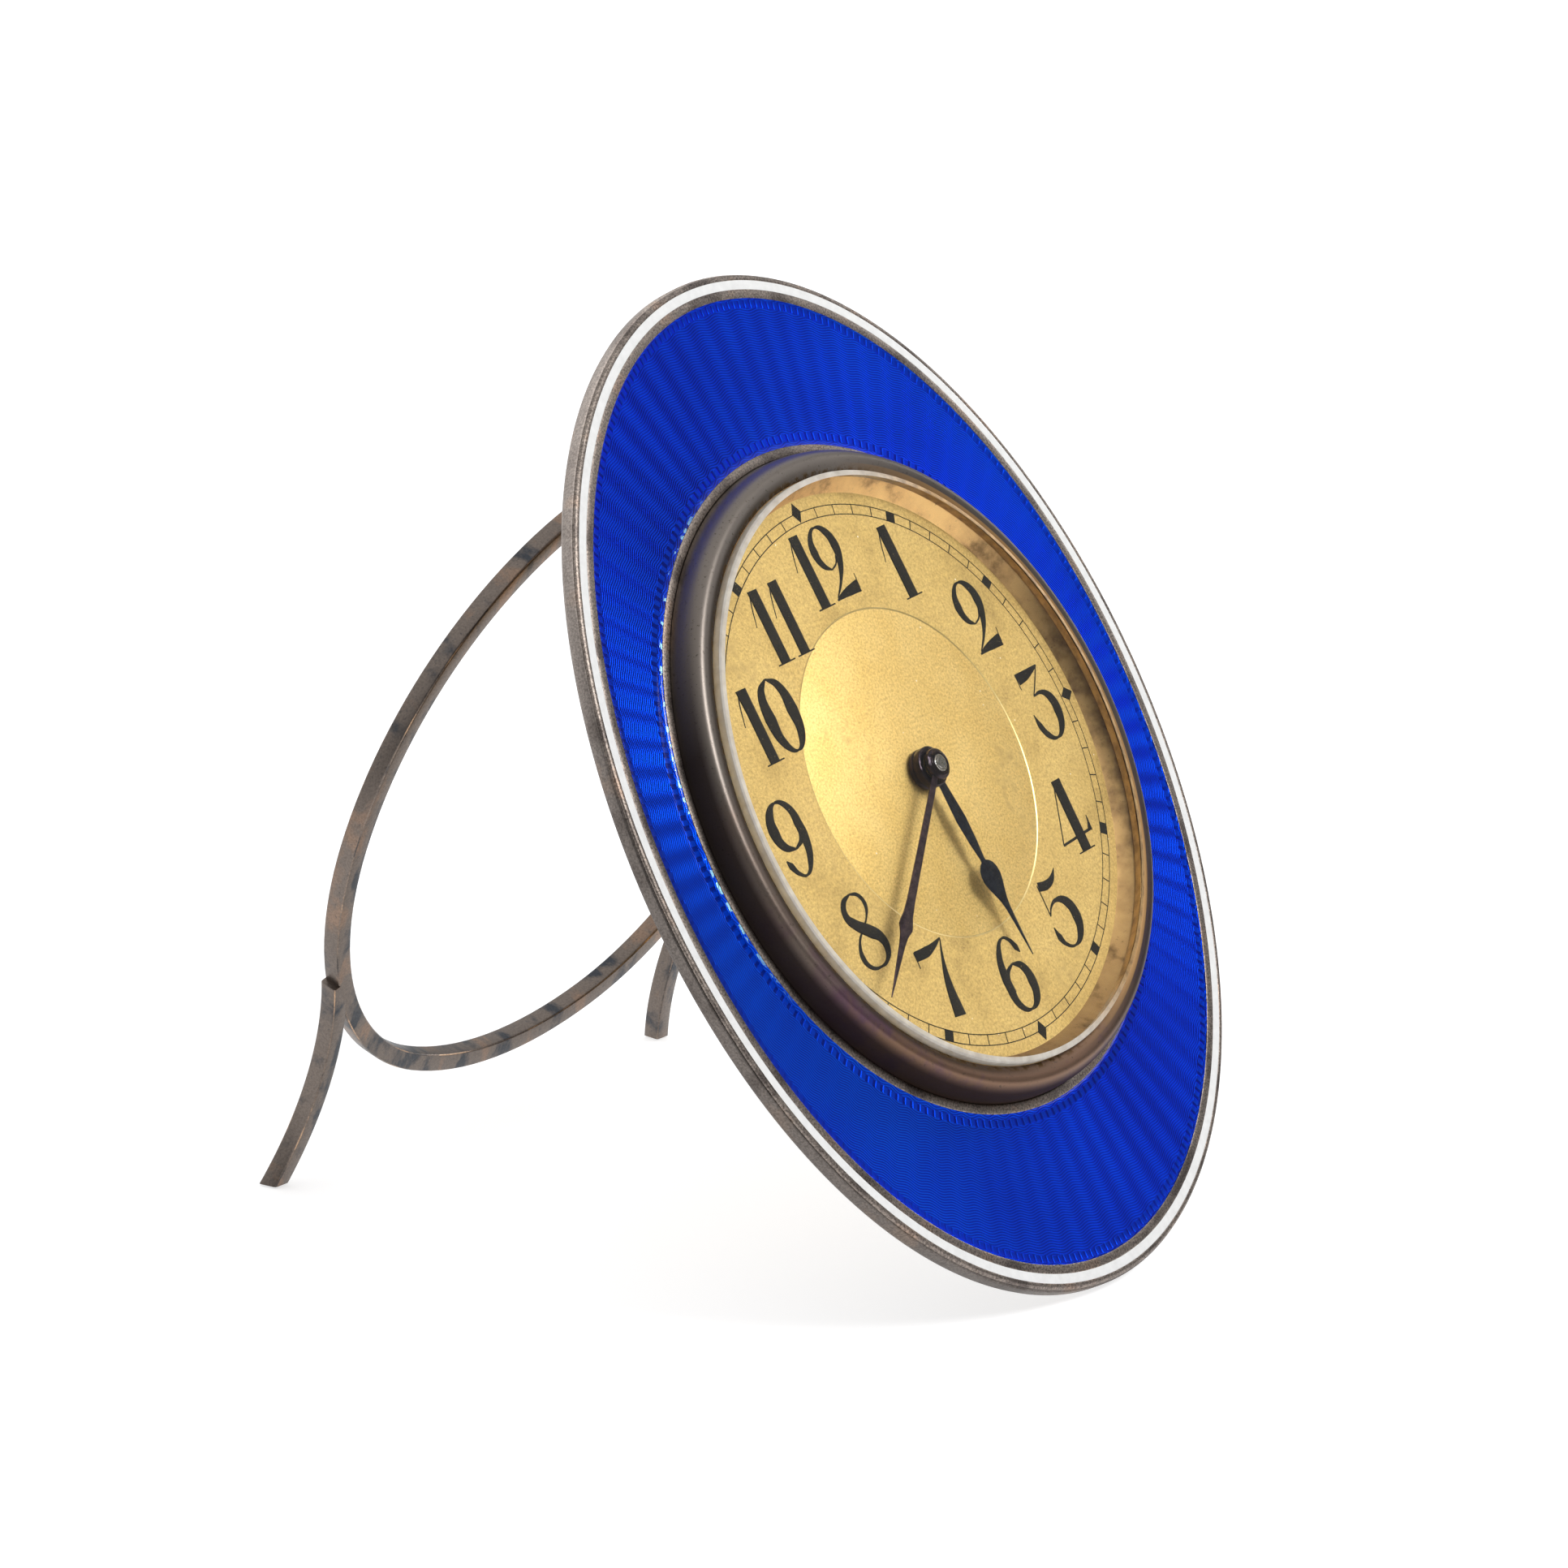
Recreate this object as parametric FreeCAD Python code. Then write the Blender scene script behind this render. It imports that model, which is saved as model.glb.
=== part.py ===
import FreeCAD, Part
import math
import os

# A strut clock: an oval silver plate with blue enamel carries a round spring-driven movement,
# and a wire loop hinged on its back holds it up. Lengths are in millimetres, angles in degrees.
# The clock is drawn lying on its back: X points to three o'clock, Y to twelve and Z out of the
# dial, with z = 0 at the face of the blue enamel. It is leaned back and stood up at the end.

# Stance
lean_angle = 30.7
strut_open_angle = 48.3

# General fits
running_fit = 0.05
seat_fit = 0.1
thin_gap = 0.3
overrun = 1.0

# Oval plate: champleve front plate in a shallow tray
blue_inner_radius = 35.1
blue_side_band = 6.4
blue_end_band = 15.9
blue_thickness = 0.35
silver_line_width = 0.95
white_line_width = 0.97
white_sink = 0.04
white_depth = 0.35
plate_border = 0.75
border_rise = 0.2
border_round = 0.3
front_plate_depth = 0.6
front_lap_inset = 0.15
collar_width = 1.0
tray_depth = 1.9
tray_floor = 0.8
tray_wall = 0.5
tray_lip_drop = 0.15
tray_round = 0.6

# Bezel, glass and reflector ring
bezel_height = 3.35
bezel_band = 1.7
bezel_foot_rise = 0.2
bezel_step = 0.2
bezel_lip_thickness = 0.3
bezel_shoulder_out_share = 0.32
bezel_shoulder_up_share = 0.7
glass_radius = 31.0
glass_edge_height = 0.75
glass_rise = 1.05
glass_thickness = 1.2
glass_hollow = 0.4
glass_flange = 1.2
glass_flange_thickness = 0.5
glass_seat_width = 1.6
reflector_inner_radius = 29.3
reflector_slope_width = 1.6

# Dial and main plate
dial_face_z = 0.85
dial_thickness = 0.4
dial_hole_radius = 1.7
dial_foot_radius = 0.5
dial_foot_length = 2.4
dial_foot_reach = 23.0
dial_foot_angles = (60, 240)
dial_turn = 5.2
movement_radius = 25.0
motion_recess_radius = 21.0
motion_recess_depth = 2.2
main_plate_web = 1.5
main_plate_lip_radius = 30.5
main_plate_lip = 0.5

# Drum and back cap
drum_wall = 0.9
drum_flange_radius = 32.0
drum_flange = 0.6
drum_back_z = -11.0
cap_thickness = 0.6
cap_skirt = 1.6
cap_skirt_wall = 0.55
case_screw_reach = 29.0
case_screw_radius = 0.5
case_screw_head_radius = 0.9
case_screw_head = 0.4
case_screw_angles = (30, 150, 270)

# Movement frame behind the main plate
train_space = 5.0
bridge_thickness = 1.2
bridge_radius = 24.0
pillar_radius = 1.3
pillar_reach = 21.5
pillar_angles = (20, 95, 176, 290)
bridge_screw_radius = 0.6
bridge_screw_head_radius = 1.15
bridge_screw_head = 0.5
bridge_screw_length = 2.4
balance_window_side = 5.6
balance_window_bottom = 5.2

# Going train: tooth counts, modules and where each arbor stands
barrel_teeth = 64
intermediate_teeth = 60
intermediate_leaves = 10
centre_teeth = 64
centre_leaves = 10
third_teeth = 60
third_leaves = 8
fourth_teeth = 60
fourth_leaves = 8
escape_teeth = 15
escape_leaves = 6
barrel_module = 0.3
intermediate_module = 0.24
centre_module = 0.2
third_module = 0.18
fourth_module = 0.16
barrel_reach = 12.5
barrel_angle = 205
third_angle = 30
fourth_angle = 110
escape_angle = 150
pallet_angle = 190
balance_angle = 180
wheel_thickness = 0.4
pinion_overhang = 0.3
arbor_radius = 0.5
pivot_radius = 0.25
pivot_length = 0.9
pivot_shoulder_gap = 0.15
wheel_addendum_share = 0.95
wheel_dedendum_share = 1.25
wheel_tip_share = 0.1
wheel_root_share = 0.27
leaf_tip_share = 0.06
leaf_pitch_share = 0.18
leaf_root_share = 0.2

# Levels of the train, below the back face of the main plate
centre_wheel_drop = 0.35
third_wheel_drop = 1.55
fourth_wheel_drop = 2.55
escape_wheel_drop = 3.65
intermediate_wheel_drop = 4.05
escape_wheel_thickness = 0.3

# Barrel, arbor and mainspring
barrel_drop = 1.15
barrel_height = 2.6
barrel_wall = 0.6
barrel_floor = 0.3
barrel_gear_thickness = 0.5
barrel_cover_thickness = 0.25
barrel_core_radius = 2.4
barrel_pivot_radius = 1.1
barrel_square = 1.6
mainspring_thickness = 0.28
mainspring_turns = 6
mainspring_gap = 0.2

# Ratchet and click on the bridge
ratchet_teeth = 36
ratchet_radius = 5.0
ratchet_tooth_height = 0.5
ratchet_thickness = 0.55
click_angle = -80
click_thickness = 0.5
click_pivot_radius = 1.1
click_screw_radius = 0.5
click_screw_head_radius = 0.9
click_screw_head = 0.3
click_spring_width = 0.25
click_spring_foot_radius = 0.9

# Winding key
key_boss_radius = 2.6
key_boss_height = 1.2
key_ear_width = 1.0
key_ear_height = 1.0
key_ear_half_length = 1.1
key_tongue_width = 2.4
key_pin_radius = 0.5
key_wing_width = 9.0
key_wing_length = 9.0
key_wing_thickness = 1.0
key_wing_corner = 3.0
key_side_gap = 0.05

# Escapement
escape_radius = 3.6
escape_arbor_radius = 0.28
escape_tooth_root_share = 0.72
escape_tooth_lean = 7.0
pallet_span_angle = 30
pallet_clearance = 0.12
pallet_arm_width = 0.7
pallet_stone_length = 0.8
pallet_stone_width = 0.35
pallet_hub_radius = 0.7
balance_distance = 6.6
balance_radius = 5.6
balance_rim = 0.7
balance_drop = 2.55
balance_rim_thickness = 0.8
balance_arm_width = 0.8
balance_hub_radius = 0.9
staff_radius = 0.3
roller_radius = 1.0
roller_thickness = 0.25
roller_gap = 0.1
impulse_pin_radius = 0.15
impulse_pin_reach = 0.75
fork_tip_gap = 0.25
fork_slot_width = 0.5
fork_width = 1.4
fork_arm_width = 0.6
hairspring_drop = 4.65
hairspring_height = 0.25
hairspring_thickness = 0.12
hairspring_inner_radius = 0.42
hairspring_outer_radius = 3.1
hairspring_turns = 5

# Balance cock and regulator
cock_foot_x = -20.0
cock_foot_y = 8.0
cock_foot_radius = 1.8
cock_end_radius = 1.5
cock_thickness = 0.85
stud_width = 0.8
index_thickness = 0.35
index_ring_radius = 1.9
index_bore_radius = 1.0
index_collar_radius = 0.95
index_length = 5.2
index_width = 0.6
index_angle = 70

# Motion works under the dial
cannon_leaves = 12
minute_wheel_teeth = 36
minute_wheel_leaves = 10
hour_wheel_teeth = 40
setting_leaves = 12
motion_distance = 6.0
minute_stud_angle = 300
setting_angle = 330
motion_floor_gap = 0.2
motion_wheel_thickness = 0.4
motion_pinion_height = 1.0
hour_wheel_drop = 0.65
centre_arbor_radius = 0.5
cannon_pipe_radius = 0.9
hour_pipe_radius = 1.4
setting_arbor_radius = 0.5
setting_knob_radius = 2.6
setting_knob_height = 2.3
setting_knob_gap = 0.5
setting_knob_knurls = 24
setting_knob_knurl_depth = 0.15
stud_radius = 0.4

# Hands
hour_hand_angle = 169.7
hour_hand_length = 21.2
hour_hand_bulb_reach = 12.4
hour_hand_bulb_radius = 1.8
hour_hand_base_z = 2.25
hand_thickness = 0.2
hour_collet_radius = 2.1
hour_collet_base_gap = 0.2
hour_collet_height = 1.5
minute_hand_angle = 226.5
minute_hand_length = 28.6
minute_hand_width = 2.3
minute_hand_base_z = 2.9
minute_collet_radius = 1.65
minute_collet_base_z = 2.72
minute_collet_height = 0.73
arbor_tip_z = 3.5
hour_stem_shares = ((0.06, 0.34), (0.28, 0.5), (0.42, 0.4), (0.53, 0.19))
hour_tail_shares = ((0.64, 0.62), (0.68, 0.36), (0.72, 0.22), (0.78, 0.15), (1.0, 0.03))
minute_hand_shares = (
    (0.02, 0.22), (0.35, 0.24), (0.6, 0.29), (0.7, 0.5), (0.73, 0.41), (0.765, 0.26),
    (0.81, 0.16), (0.88, 0.1), (1.0, 0.025))

# Strut: a loop of square wire with two soldered feet, on a leaf hinge
strut_wire = 2.0
strut_wire_round = 0.25
hinge_height = 45.6
hinge_standoff = 2.0
hinge_knuckle_radius = 1.3
hinge_knuckle_length = 3.0
hinge_pin_radius = 0.6
hinge_pin_end = 0.4
leaf_width = 6.0
leaf_thickness = 1.2
loop_top_drop = 10.8
loop_crown_radius = 36.6
loop_lower_depth_share = 0.906
loop_bow_share = 1.2295
foot_bend_share = 0.8552
foot_waist_out_share = 0.829
foot_waist_down_share = 0.7896
foot_top_down_share = 0.4508
foot_spread_angle = 30

tray_back = -tray_depth
tray_inside = -tray_depth + tray_floor
blue_half_width = blue_inner_radius + blue_side_band
blue_half_height = blue_inner_radius + blue_end_band
plate_half_width = blue_half_width + silver_line_width + white_line_width + plate_border
plate_half_height = blue_half_height + silver_line_width + white_line_width + plate_border
main_front = dial_face_z - dial_thickness
recess_floor = main_front - motion_recess_depth
main_back = recess_floor - main_plate_web
bridge_front = main_back - train_space
bridge_back = bridge_front - bridge_thickness
cap_back = drum_back_z - cap_thickness
hinge_z = tray_back - hinge_standoff
loop_widest_drop = loop_top_drop + loop_crown_radius
loop_bottom_drop = loop_widest_drop + loop_crown_radius * loop_lower_depth_share
loop_bottom_radius = loop_crown_radius * loop_bow_share
foot_radius = loop_crown_radius * foot_bend_share
foot_waist_half_gap = loop_crown_radius * foot_waist_out_share
foot_waist_drop = loop_widest_drop + loop_crown_radius * foot_waist_down_share
foot_top_drop = loop_widest_drop + loop_crown_radius * foot_top_down_share


def vec(x, y, z=0):
    return FreeCAD.Vector(x, y, z)


def polar(radius, degrees, x=0, y=0):
    a = math.radians(degrees)
    return (x + radius * math.cos(a), y + radius * math.sin(a))


def rod(radius, z0, z1, x=0, y=0):
    return Part.makeCylinder(radius, abs(z1 - z0), vec(x, y, min(z0, z1)))


def tube(outer, inner, z0, z1, x=0, y=0):
    return rod(outer, z0, z1, x, y).cut(rod(inner, z0 - overrun, z1 + overrun, x, y))


def slab(points, z0, z1):
    corners = [vec(px, py, z0) for px, py in points]
    return Part.Face(Part.makePolygon(corners + corners[:1])).extrude(vec(0, 0, z1 - z0))


def block(x0, x1, y0, y1, z0, z1):
    return slab([(x0, y0), (x1, y0), (x1, y1), (x0, y1)], z0, z1)


def bar(start, end, width, z0, z1):
    dx, dy = end[0] - start[0], end[1] - start[1]
    length = math.hypot(dx, dy)
    nx, ny = -dy / length * width / 2, dx / length * width / 2
    return slab([(start[0] + nx, start[1] + ny), (start[0] - nx, start[1] - ny),
                 (end[0] - nx, end[1] - ny), (end[0] + nx, end[1] + ny)], z0, z1)


def oval(half_width, half_height, z0, z1):
    curve = Part.Ellipse(vec(0, 0), half_height, half_width)
    face = Part.Face(Part.Wire(curve.toShape()))
    face.rotate(vec(0, 0), vec(0, 0, 1), 90)
    face.translate(vec(0, 0, z0))
    return face.extrude(vec(0, 0, z1 - z0))


def turned(edges):
    face = Part.Face(Part.Wire(edges))
    return face.revolve(vec(0, 0), vec(0, 0, 1), 360)


def profile(points):
    corners = [vec(r, 0, z) for r, z in points]
    return [Part.makeLine(a, b) for a, b in zip(corners, corners[1:])]


def arc(start, middle, end):
    ends = [vec(r, 0, z) for r, z in (start, middle, end)]
    return Part.Arc(*ends).toShape()


def joined(first, *others):
    return first.fuse(list(others)).removeSplitter()


def tooth_ring(count, module, shares, phase, x, y):
    # shares pairs a radius offset in modules with a half width as a share of the tooth pitch
    points = []
    pitch = 360 / count
    for tooth in range(count):
        centre = phase + tooth * pitch
        for offset, half in shares:
            points.append(polar(module * (count / 2 + offset), centre - half * pitch, x, y))
        for offset, half in reversed(shares):
            points.append(polar(module * (count / 2 + offset), centre + half * pitch, x, y))
    return points


def wheel(count, module, phase, spot, z0, z1, bore):
    shares = ((-wheel_dedendum_share, wheel_root_share), (wheel_addendum_share, wheel_tip_share))
    blank = slab(tooth_ring(count, module, shares, phase, *spot), z0, z1)
    return blank.cut(rod(bore, z0 - overrun, z1 + overrun, *spot))


def leaves(count, module, phase, spot, z0, z1):
    shares = ((-wheel_dedendum_share, leaf_root_share), (0, leaf_pitch_share),
              (wheel_addendum_share, leaf_tip_share))
    return slab(tooth_ring(count, module, shares, phase, *spot), z0, z1)


def mesh_phase(phase, count, direction, other_count):
    # turn of the other gear that puts a gap opposite each tooth on the line of centres
    share = ((direction - phase) * count / 360) % 1
    return direction + 180 - (0.5 - share) * 360 / other_count


def centre_distance(module, teeth, other):
    return module * (teeth + other) / 2


def spiral(inner, outer, turns, thickness, spot, z0, z1):
    steps = turns * 20
    inside, outside = [], []
    for step in range(steps + 1):
        radius = inner + (outer - thickness - inner) * step / steps
        degrees = 360 * turns * step / steps
        inside.append(polar(radius, degrees, *spot))
        outside.append(polar(radius + thickness, degrees, *spot))
    return slab(inside + outside[::-1], z0, z1)


# Places of the arbors, from the centre outwards
centre = (0, 0)
barrel_spot = polar(barrel_reach, barrel_angle)
intermediate_distance = centre_distance(intermediate_module, intermediate_teeth, centre_leaves)
barrel_distance = centre_distance(barrel_module, barrel_teeth, intermediate_leaves)
triangle_cosine = ((barrel_reach ** 2 + intermediate_distance ** 2 - barrel_distance ** 2)
                   / (2 * barrel_reach * intermediate_distance))
intermediate_angle = barrel_angle + math.degrees(math.acos(triangle_cosine))
intermediate_spot = polar(intermediate_distance, intermediate_angle)
third_spot = polar(centre_distance(centre_module, centre_teeth, third_leaves), third_angle)
fourth_spot = polar(centre_distance(third_module, third_teeth, fourth_leaves),
                    fourth_angle, *third_spot)
escape_spot = polar(centre_distance(fourth_module, fourth_teeth, escape_leaves),
                    escape_angle, *fourth_spot)
pallet_distance = escape_radius / math.cos(math.radians(pallet_span_angle))
pallet_spot = polar(pallet_distance, pallet_angle, *escape_spot)
balance_spot = polar(balance_distance, balance_angle, *pallet_spot)
minute_stud_spot = polar(motion_distance, minute_stud_angle)
setting_spot = polar(motion_distance, setting_angle, *minute_stud_spot)


def direction(start, end):
    return math.degrees(math.atan2(end[1] - start[1], end[0] - start[0]))


# Case pieces

def front_plate():
    outline = oval(plate_half_width - front_lap_inset, plate_half_height - front_lap_inset,
                   -tray_lip_drop, border_rise)
    rim = [e for e in outline.Edges if abs(e.BoundBox.ZMin - border_rise) < running_fit
           and abs(e.BoundBox.ZMax - border_rise) < running_fit]
    outline = outline.makeFillet(border_round, rim)
    inner_width = plate_half_width - tray_wall - seat_fit
    inner_height = plate_half_height - tray_wall - seat_fit
    body = joined(outline, oval(inner_width, inner_height, -front_plate_depth, -tray_lip_drop))
    sunk = oval(blue_half_width, blue_half_height, -blue_thickness, border_rise + overrun)
    hole_radius = blue_inner_radius - collar_width
    collar = rod(blue_inner_radius, -front_plate_depth, border_rise)
    body = joined(body.cut(sunk), collar)
    body = body.cut(white_groove(border_rise + overrun))
    return body.cut(rod(hole_radius, -front_plate_depth - overrun, border_rise + overrun))


def white_groove(top):
    inner = (blue_half_width + silver_line_width, blue_half_height + silver_line_width)
    outer = (inner[0] + white_line_width, inner[1] + white_line_width)
    floor = border_rise - white_depth
    return oval(*outer, floor, top).cut(oval(*inner, floor - overrun, top + overrun))


def white_enamel_line():
    return white_groove(border_rise - white_sink)


def blue_enamel():
    field = oval(blue_half_width, blue_half_height, -blue_thickness, 0)
    return field.cut(rod(blue_inner_radius, -blue_thickness - overrun, overrun))


def back_plate():
    tray = oval(plate_half_width, plate_half_height, tray_back, -tray_lip_drop)
    edge = [e for e in tray.Edges if abs(e.BoundBox.ZMax - tray_back) < running_fit]
    tray = tray.makeFillet(tray_round, edge)
    hollow = oval(plate_half_width - tray_wall, plate_half_height - tray_wall,
                  tray_inside, overrun)
    drum_hole = rod(movement_radius + seat_fit + drum_wall + running_fit,
                    tray_back - overrun, overrun)
    tray = tray.cut(hollow).cut(drum_hole)
    for degrees in case_screw_angles:
        spot = polar(case_screw_reach, degrees)
        tray = tray.cut(rod(case_screw_radius, tray_back - overrun, overrun, *spot))
    return tray


def bezel():
    radius = blue_inner_radius - collar_width - running_fit
    bore = glass_radius + glass_flange + seat_fit
    crest = radius - bezel_band
    lip_top = bezel_height - bezel_step
    lip_under = lip_top - bezel_lip_thickness
    lip_radius = glass_radius + running_fit
    foot = (radius, bezel_foot_rise)
    shoulder = (radius - bezel_band * bezel_shoulder_out_share,
                bezel_height * bezel_shoulder_up_share)
    edges = profile([(bore, tray_inside), (radius, tray_inside), foot])
    edges.append(arc(foot, shoulder, (crest, bezel_height)))
    edges += profile([(crest, bezel_height), (crest - bezel_step, lip_top), (lip_radius, lip_top),
                      (lip_radius, lip_under), (bore, lip_under), (bore, tray_inside)])
    return turned(edges)


glass_seat_top = bezel_height - bezel_step - bezel_lip_thickness
reflector_top = glass_seat_top - glass_flange_thickness


def ball(crown, rise, reach):
    # a large ball whose top lies at the crown and falls by the rise at the reach
    radius = (reach ** 2 + rise ** 2) / (2 * rise)
    return Part.makeSphere(radius, vec(0, 0, crown - radius), vec(1, 0, 0))


def glass():
    crown = bezel_height - bezel_step + glass_edge_height + glass_rise
    ceiling = crown - glass_thickness
    rim = glass_radius + glass_flange
    seat = rim - glass_seat_width
    body = joined(rod(glass_radius, reflector_top, crown), rod(rim, reflector_top, glass_seat_top))
    body = body.common(ball(crown, glass_rise, glass_radius))
    hollow = rod(seat, reflector_top - overrun, crown).common(ball(ceiling, glass_hollow, seat))
    return body.cut(hollow)


def reflector_ring():
    outer = glass_radius + glass_flange
    return turned(profile([
        (reflector_inner_radius, dial_face_z),
        (outer, dial_face_z), (outer, reflector_top),
        (reflector_inner_radius + reflector_slope_width, reflector_top),
        (reflector_inner_radius, dial_face_z)]))


def dial():
    disc = tube(glass_radius + glass_flange, dial_hole_radius, main_front, dial_face_z)
    for degrees in dial_foot_angles:
        spot = polar(dial_foot_reach, degrees + dial_turn)
        disc = joined(disc, rod(dial_foot_radius, main_front - dial_foot_length, main_front, *spot))
    return disc


def case_drum():
    inner = movement_radius + seat_fit
    flange_top = tray_inside + drum_flange
    body = joined(rod(drum_flange_radius, tray_inside, flange_top),
                  rod(inner + drum_wall, drum_back_z, flange_top))
    body = body.cut(rod(inner, drum_back_z - overrun, flange_top + overrun))
    for degrees in case_screw_angles:
        spot = polar(case_screw_reach, degrees)
        body = body.cut(rod(case_screw_radius, tray_inside - overrun, overrun, *spot))
    return body


def back_cap():
    inner = movement_radius + seat_fit + drum_wall + running_fit
    body = rod(inner + cap_skirt_wall, cap_back, drum_back_z + cap_skirt)
    body = body.cut(rod(inner, drum_back_z, overrun))
    body = body.cut(rod(key_boss_radius + thin_gap, cap_back - overrun, overrun, *barrel_spot))
    return body.cut(rod(setting_arbor_radius + seat_fit, cap_back - overrun, overrun,
                        *setting_spot))


def case_screws():
    lip_top = tray_inside + drum_flange + main_plate_lip
    screws = []
    for degrees in case_screw_angles:
        spot = polar(case_screw_reach, degrees)
        screws.append(joined(rod(case_screw_radius, tray_back, lip_top, *spot),
                             rod(case_screw_head_radius, lip_top, lip_top + case_screw_head,
                                 *spot)))
    return Part.makeCompound(screws)


# Movement frame

def train_pivots():
    return [intermediate_spot, third_spot, fourth_spot, escape_spot, pallet_spot]


def main_plate():
    lip_top = tray_inside + drum_flange + main_plate_lip
    body = joined(rod(movement_radius, main_back, main_front),
                  rod(main_plate_lip_radius, lip_top - main_plate_lip, lip_top))
    body = body.cut(rod(motion_recess_radius, recess_floor, main_front + overrun))
    holes = [rod(pivot_radius + running_fit, main_back - overrun, overrun, *spot)
             for spot in train_pivots() + [balance_spot]]
    holes.append(rod(centre_arbor_radius + running_fit, main_back - overrun, overrun))
    holes.append(rod(barrel_pivot_radius + running_fit, main_back - overrun, overrun,
                     *barrel_spot))
    holes.append(rod(setting_arbor_radius + running_fit, main_back - overrun, overrun,
                     *setting_spot))
    holes.append(rod(stud_radius, main_back - overrun, overrun, *minute_stud_spot))
    for degrees in case_screw_angles:
        holes.append(rod(case_screw_radius, tray_inside - overrun, overrun,
                         *polar(case_screw_reach, degrees)))
    for degrees in dial_foot_angles:
        holes.append(rod(dial_foot_radius, main_front - dial_foot_length,
                         main_front + overrun, *polar(dial_foot_reach, degrees + dial_turn)))
    return body.cut(holes)


def train_bridge():
    body = rod(bridge_radius, bridge_back, bridge_front)
    window = block(-bridge_radius - overrun, -balance_window_side,
                   balance_window_bottom, bridge_radius + overrun,
                   bridge_back - overrun, bridge_front + overrun)
    holes = [rod(pivot_radius + running_fit, bridge_back - overrun, bridge_front + overrun, *spot)
             for spot in train_pivots() + [centre]]
    holes.append(rod(barrel_pivot_radius + running_fit, bridge_back - overrun,
                     bridge_front + overrun, *barrel_spot))
    holes.append(rod(setting_arbor_radius + running_fit, bridge_back - overrun,
                     bridge_front + overrun, *setting_spot))
    holes.append(rod(click_screw_radius, bridge_back - overrun, bridge_front + overrun,
                     *click_spot))
    for degrees in pillar_angles:
        holes.append(rod(bridge_screw_radius, bridge_back - overrun, bridge_front + overrun,
                         *polar(pillar_reach, degrees)))
    return body.cut([window] + holes)


def plate_pillars():
    pillars = []
    for degrees in pillar_angles:
        spot = polar(pillar_reach, degrees)
        hole = rod(bridge_screw_radius, bridge_back - overrun,
                   bridge_back + bridge_screw_length, *spot)
        pillars.append(rod(pillar_radius, bridge_front, main_back, *spot).cut(hole))
    return Part.makeCompound(pillars)


def screw(spot):
    shank = rod(bridge_screw_radius, bridge_back, bridge_back + bridge_screw_length, *spot)
    head = rod(bridge_screw_head_radius, bridge_back - bridge_screw_head, bridge_back, *spot)
    return joined(shank, head)


def bridge_screws():
    spots = [polar(pillar_reach, degrees) for degrees in pillar_angles]
    return Part.makeCompound([screw(spot) for spot in spots + [(cock_foot_x, cock_foot_y)]])


# Going train

def arbor(spot, top=0, radius=arbor_radius):
    # a steel arbor with a thinner pivot at each end, one in the main plate, one in the bridge
    front = main_back - pivot_shoulder_gap
    back = bridge_front + pivot_shoulder_gap
    body = rod(radius, back, front, *spot)
    return joined(body, rod(pivot_radius, back - pivot_length, front + pivot_length, *spot))


def level(drop):
    return main_back - drop


barrel_front = level(barrel_drop)
barrel_back = barrel_front - barrel_height
barrel_gear_front = barrel_back + barrel_gear_thickness
barrel_phase = direction(barrel_spot, intermediate_spot)
intermediate_pinion_phase = mesh_phase(barrel_phase, barrel_teeth, barrel_phase,
                                       intermediate_leaves)
intermediate_phase = 0
centre_pinion_phase = mesh_phase(intermediate_phase, intermediate_teeth,
                                 direction(intermediate_spot, centre), centre_leaves)
centre_phase = 0
third_pinion_phase = mesh_phase(centre_phase, centre_teeth, direction(centre, third_spot),
                                third_leaves)
third_phase = 0
fourth_pinion_phase = mesh_phase(third_phase, third_teeth, direction(third_spot, fourth_spot),
                                 fourth_leaves)
fourth_phase = 0
escape_pinion_phase = mesh_phase(fourth_phase, fourth_teeth,
                                 direction(fourth_spot, escape_spot), escape_leaves)


def wheel_at(drop, count, module, phase, spot, bore=arbor_radius, thickness=wheel_thickness):
    top = level(drop)
    return wheel(count, module, phase, spot, top - thickness, top, bore)


def pinion_facing(drop, count, module, phase, spot, thickness=wheel_thickness):
    top = level(drop) + pinion_overhang
    return leaves(count, module, phase, spot, top - thickness - 2 * pinion_overhang, top)


def intermediate_wheel():
    return wheel_at(intermediate_wheel_drop, intermediate_teeth, intermediate_module,
                    intermediate_phase, intermediate_spot)


def intermediate_pinion():
    head = leaves(intermediate_leaves, barrel_module, intermediate_pinion_phase,
                  intermediate_spot, level(intermediate_wheel_drop),
                  barrel_gear_front + pinion_overhang)
    return joined(arbor(intermediate_spot), head)


def centre_wheel():
    return wheel_at(centre_wheel_drop, centre_teeth, centre_module, centre_phase, centre,
                    centre_arbor_radius)


def centre_arbor():
    back = bridge_front + pivot_shoulder_gap
    shaft = rod(centre_arbor_radius, back, arbor_tip_z)
    pivot = rod(pivot_radius, back - pivot_length, back)
    head = pinion_facing(intermediate_wheel_drop, centre_leaves, intermediate_module,
                         centre_pinion_phase, centre)
    return joined(shaft, pivot, head)


def third_wheel():
    return wheel_at(third_wheel_drop, third_teeth, third_module, third_phase, third_spot)


def third_pinion():
    return joined(arbor(third_spot),
                  pinion_facing(centre_wheel_drop, third_leaves, centre_module,
                                third_pinion_phase, third_spot,
                                wheel_thickness - pinion_overhang))


def fourth_wheel():
    return wheel_at(fourth_wheel_drop, fourth_teeth, fourth_module, fourth_phase, fourth_spot)


def fourth_pinion():
    return joined(arbor(fourth_spot),
                  pinion_facing(third_wheel_drop, fourth_leaves, third_module,
                                fourth_pinion_phase, fourth_spot))


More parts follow.
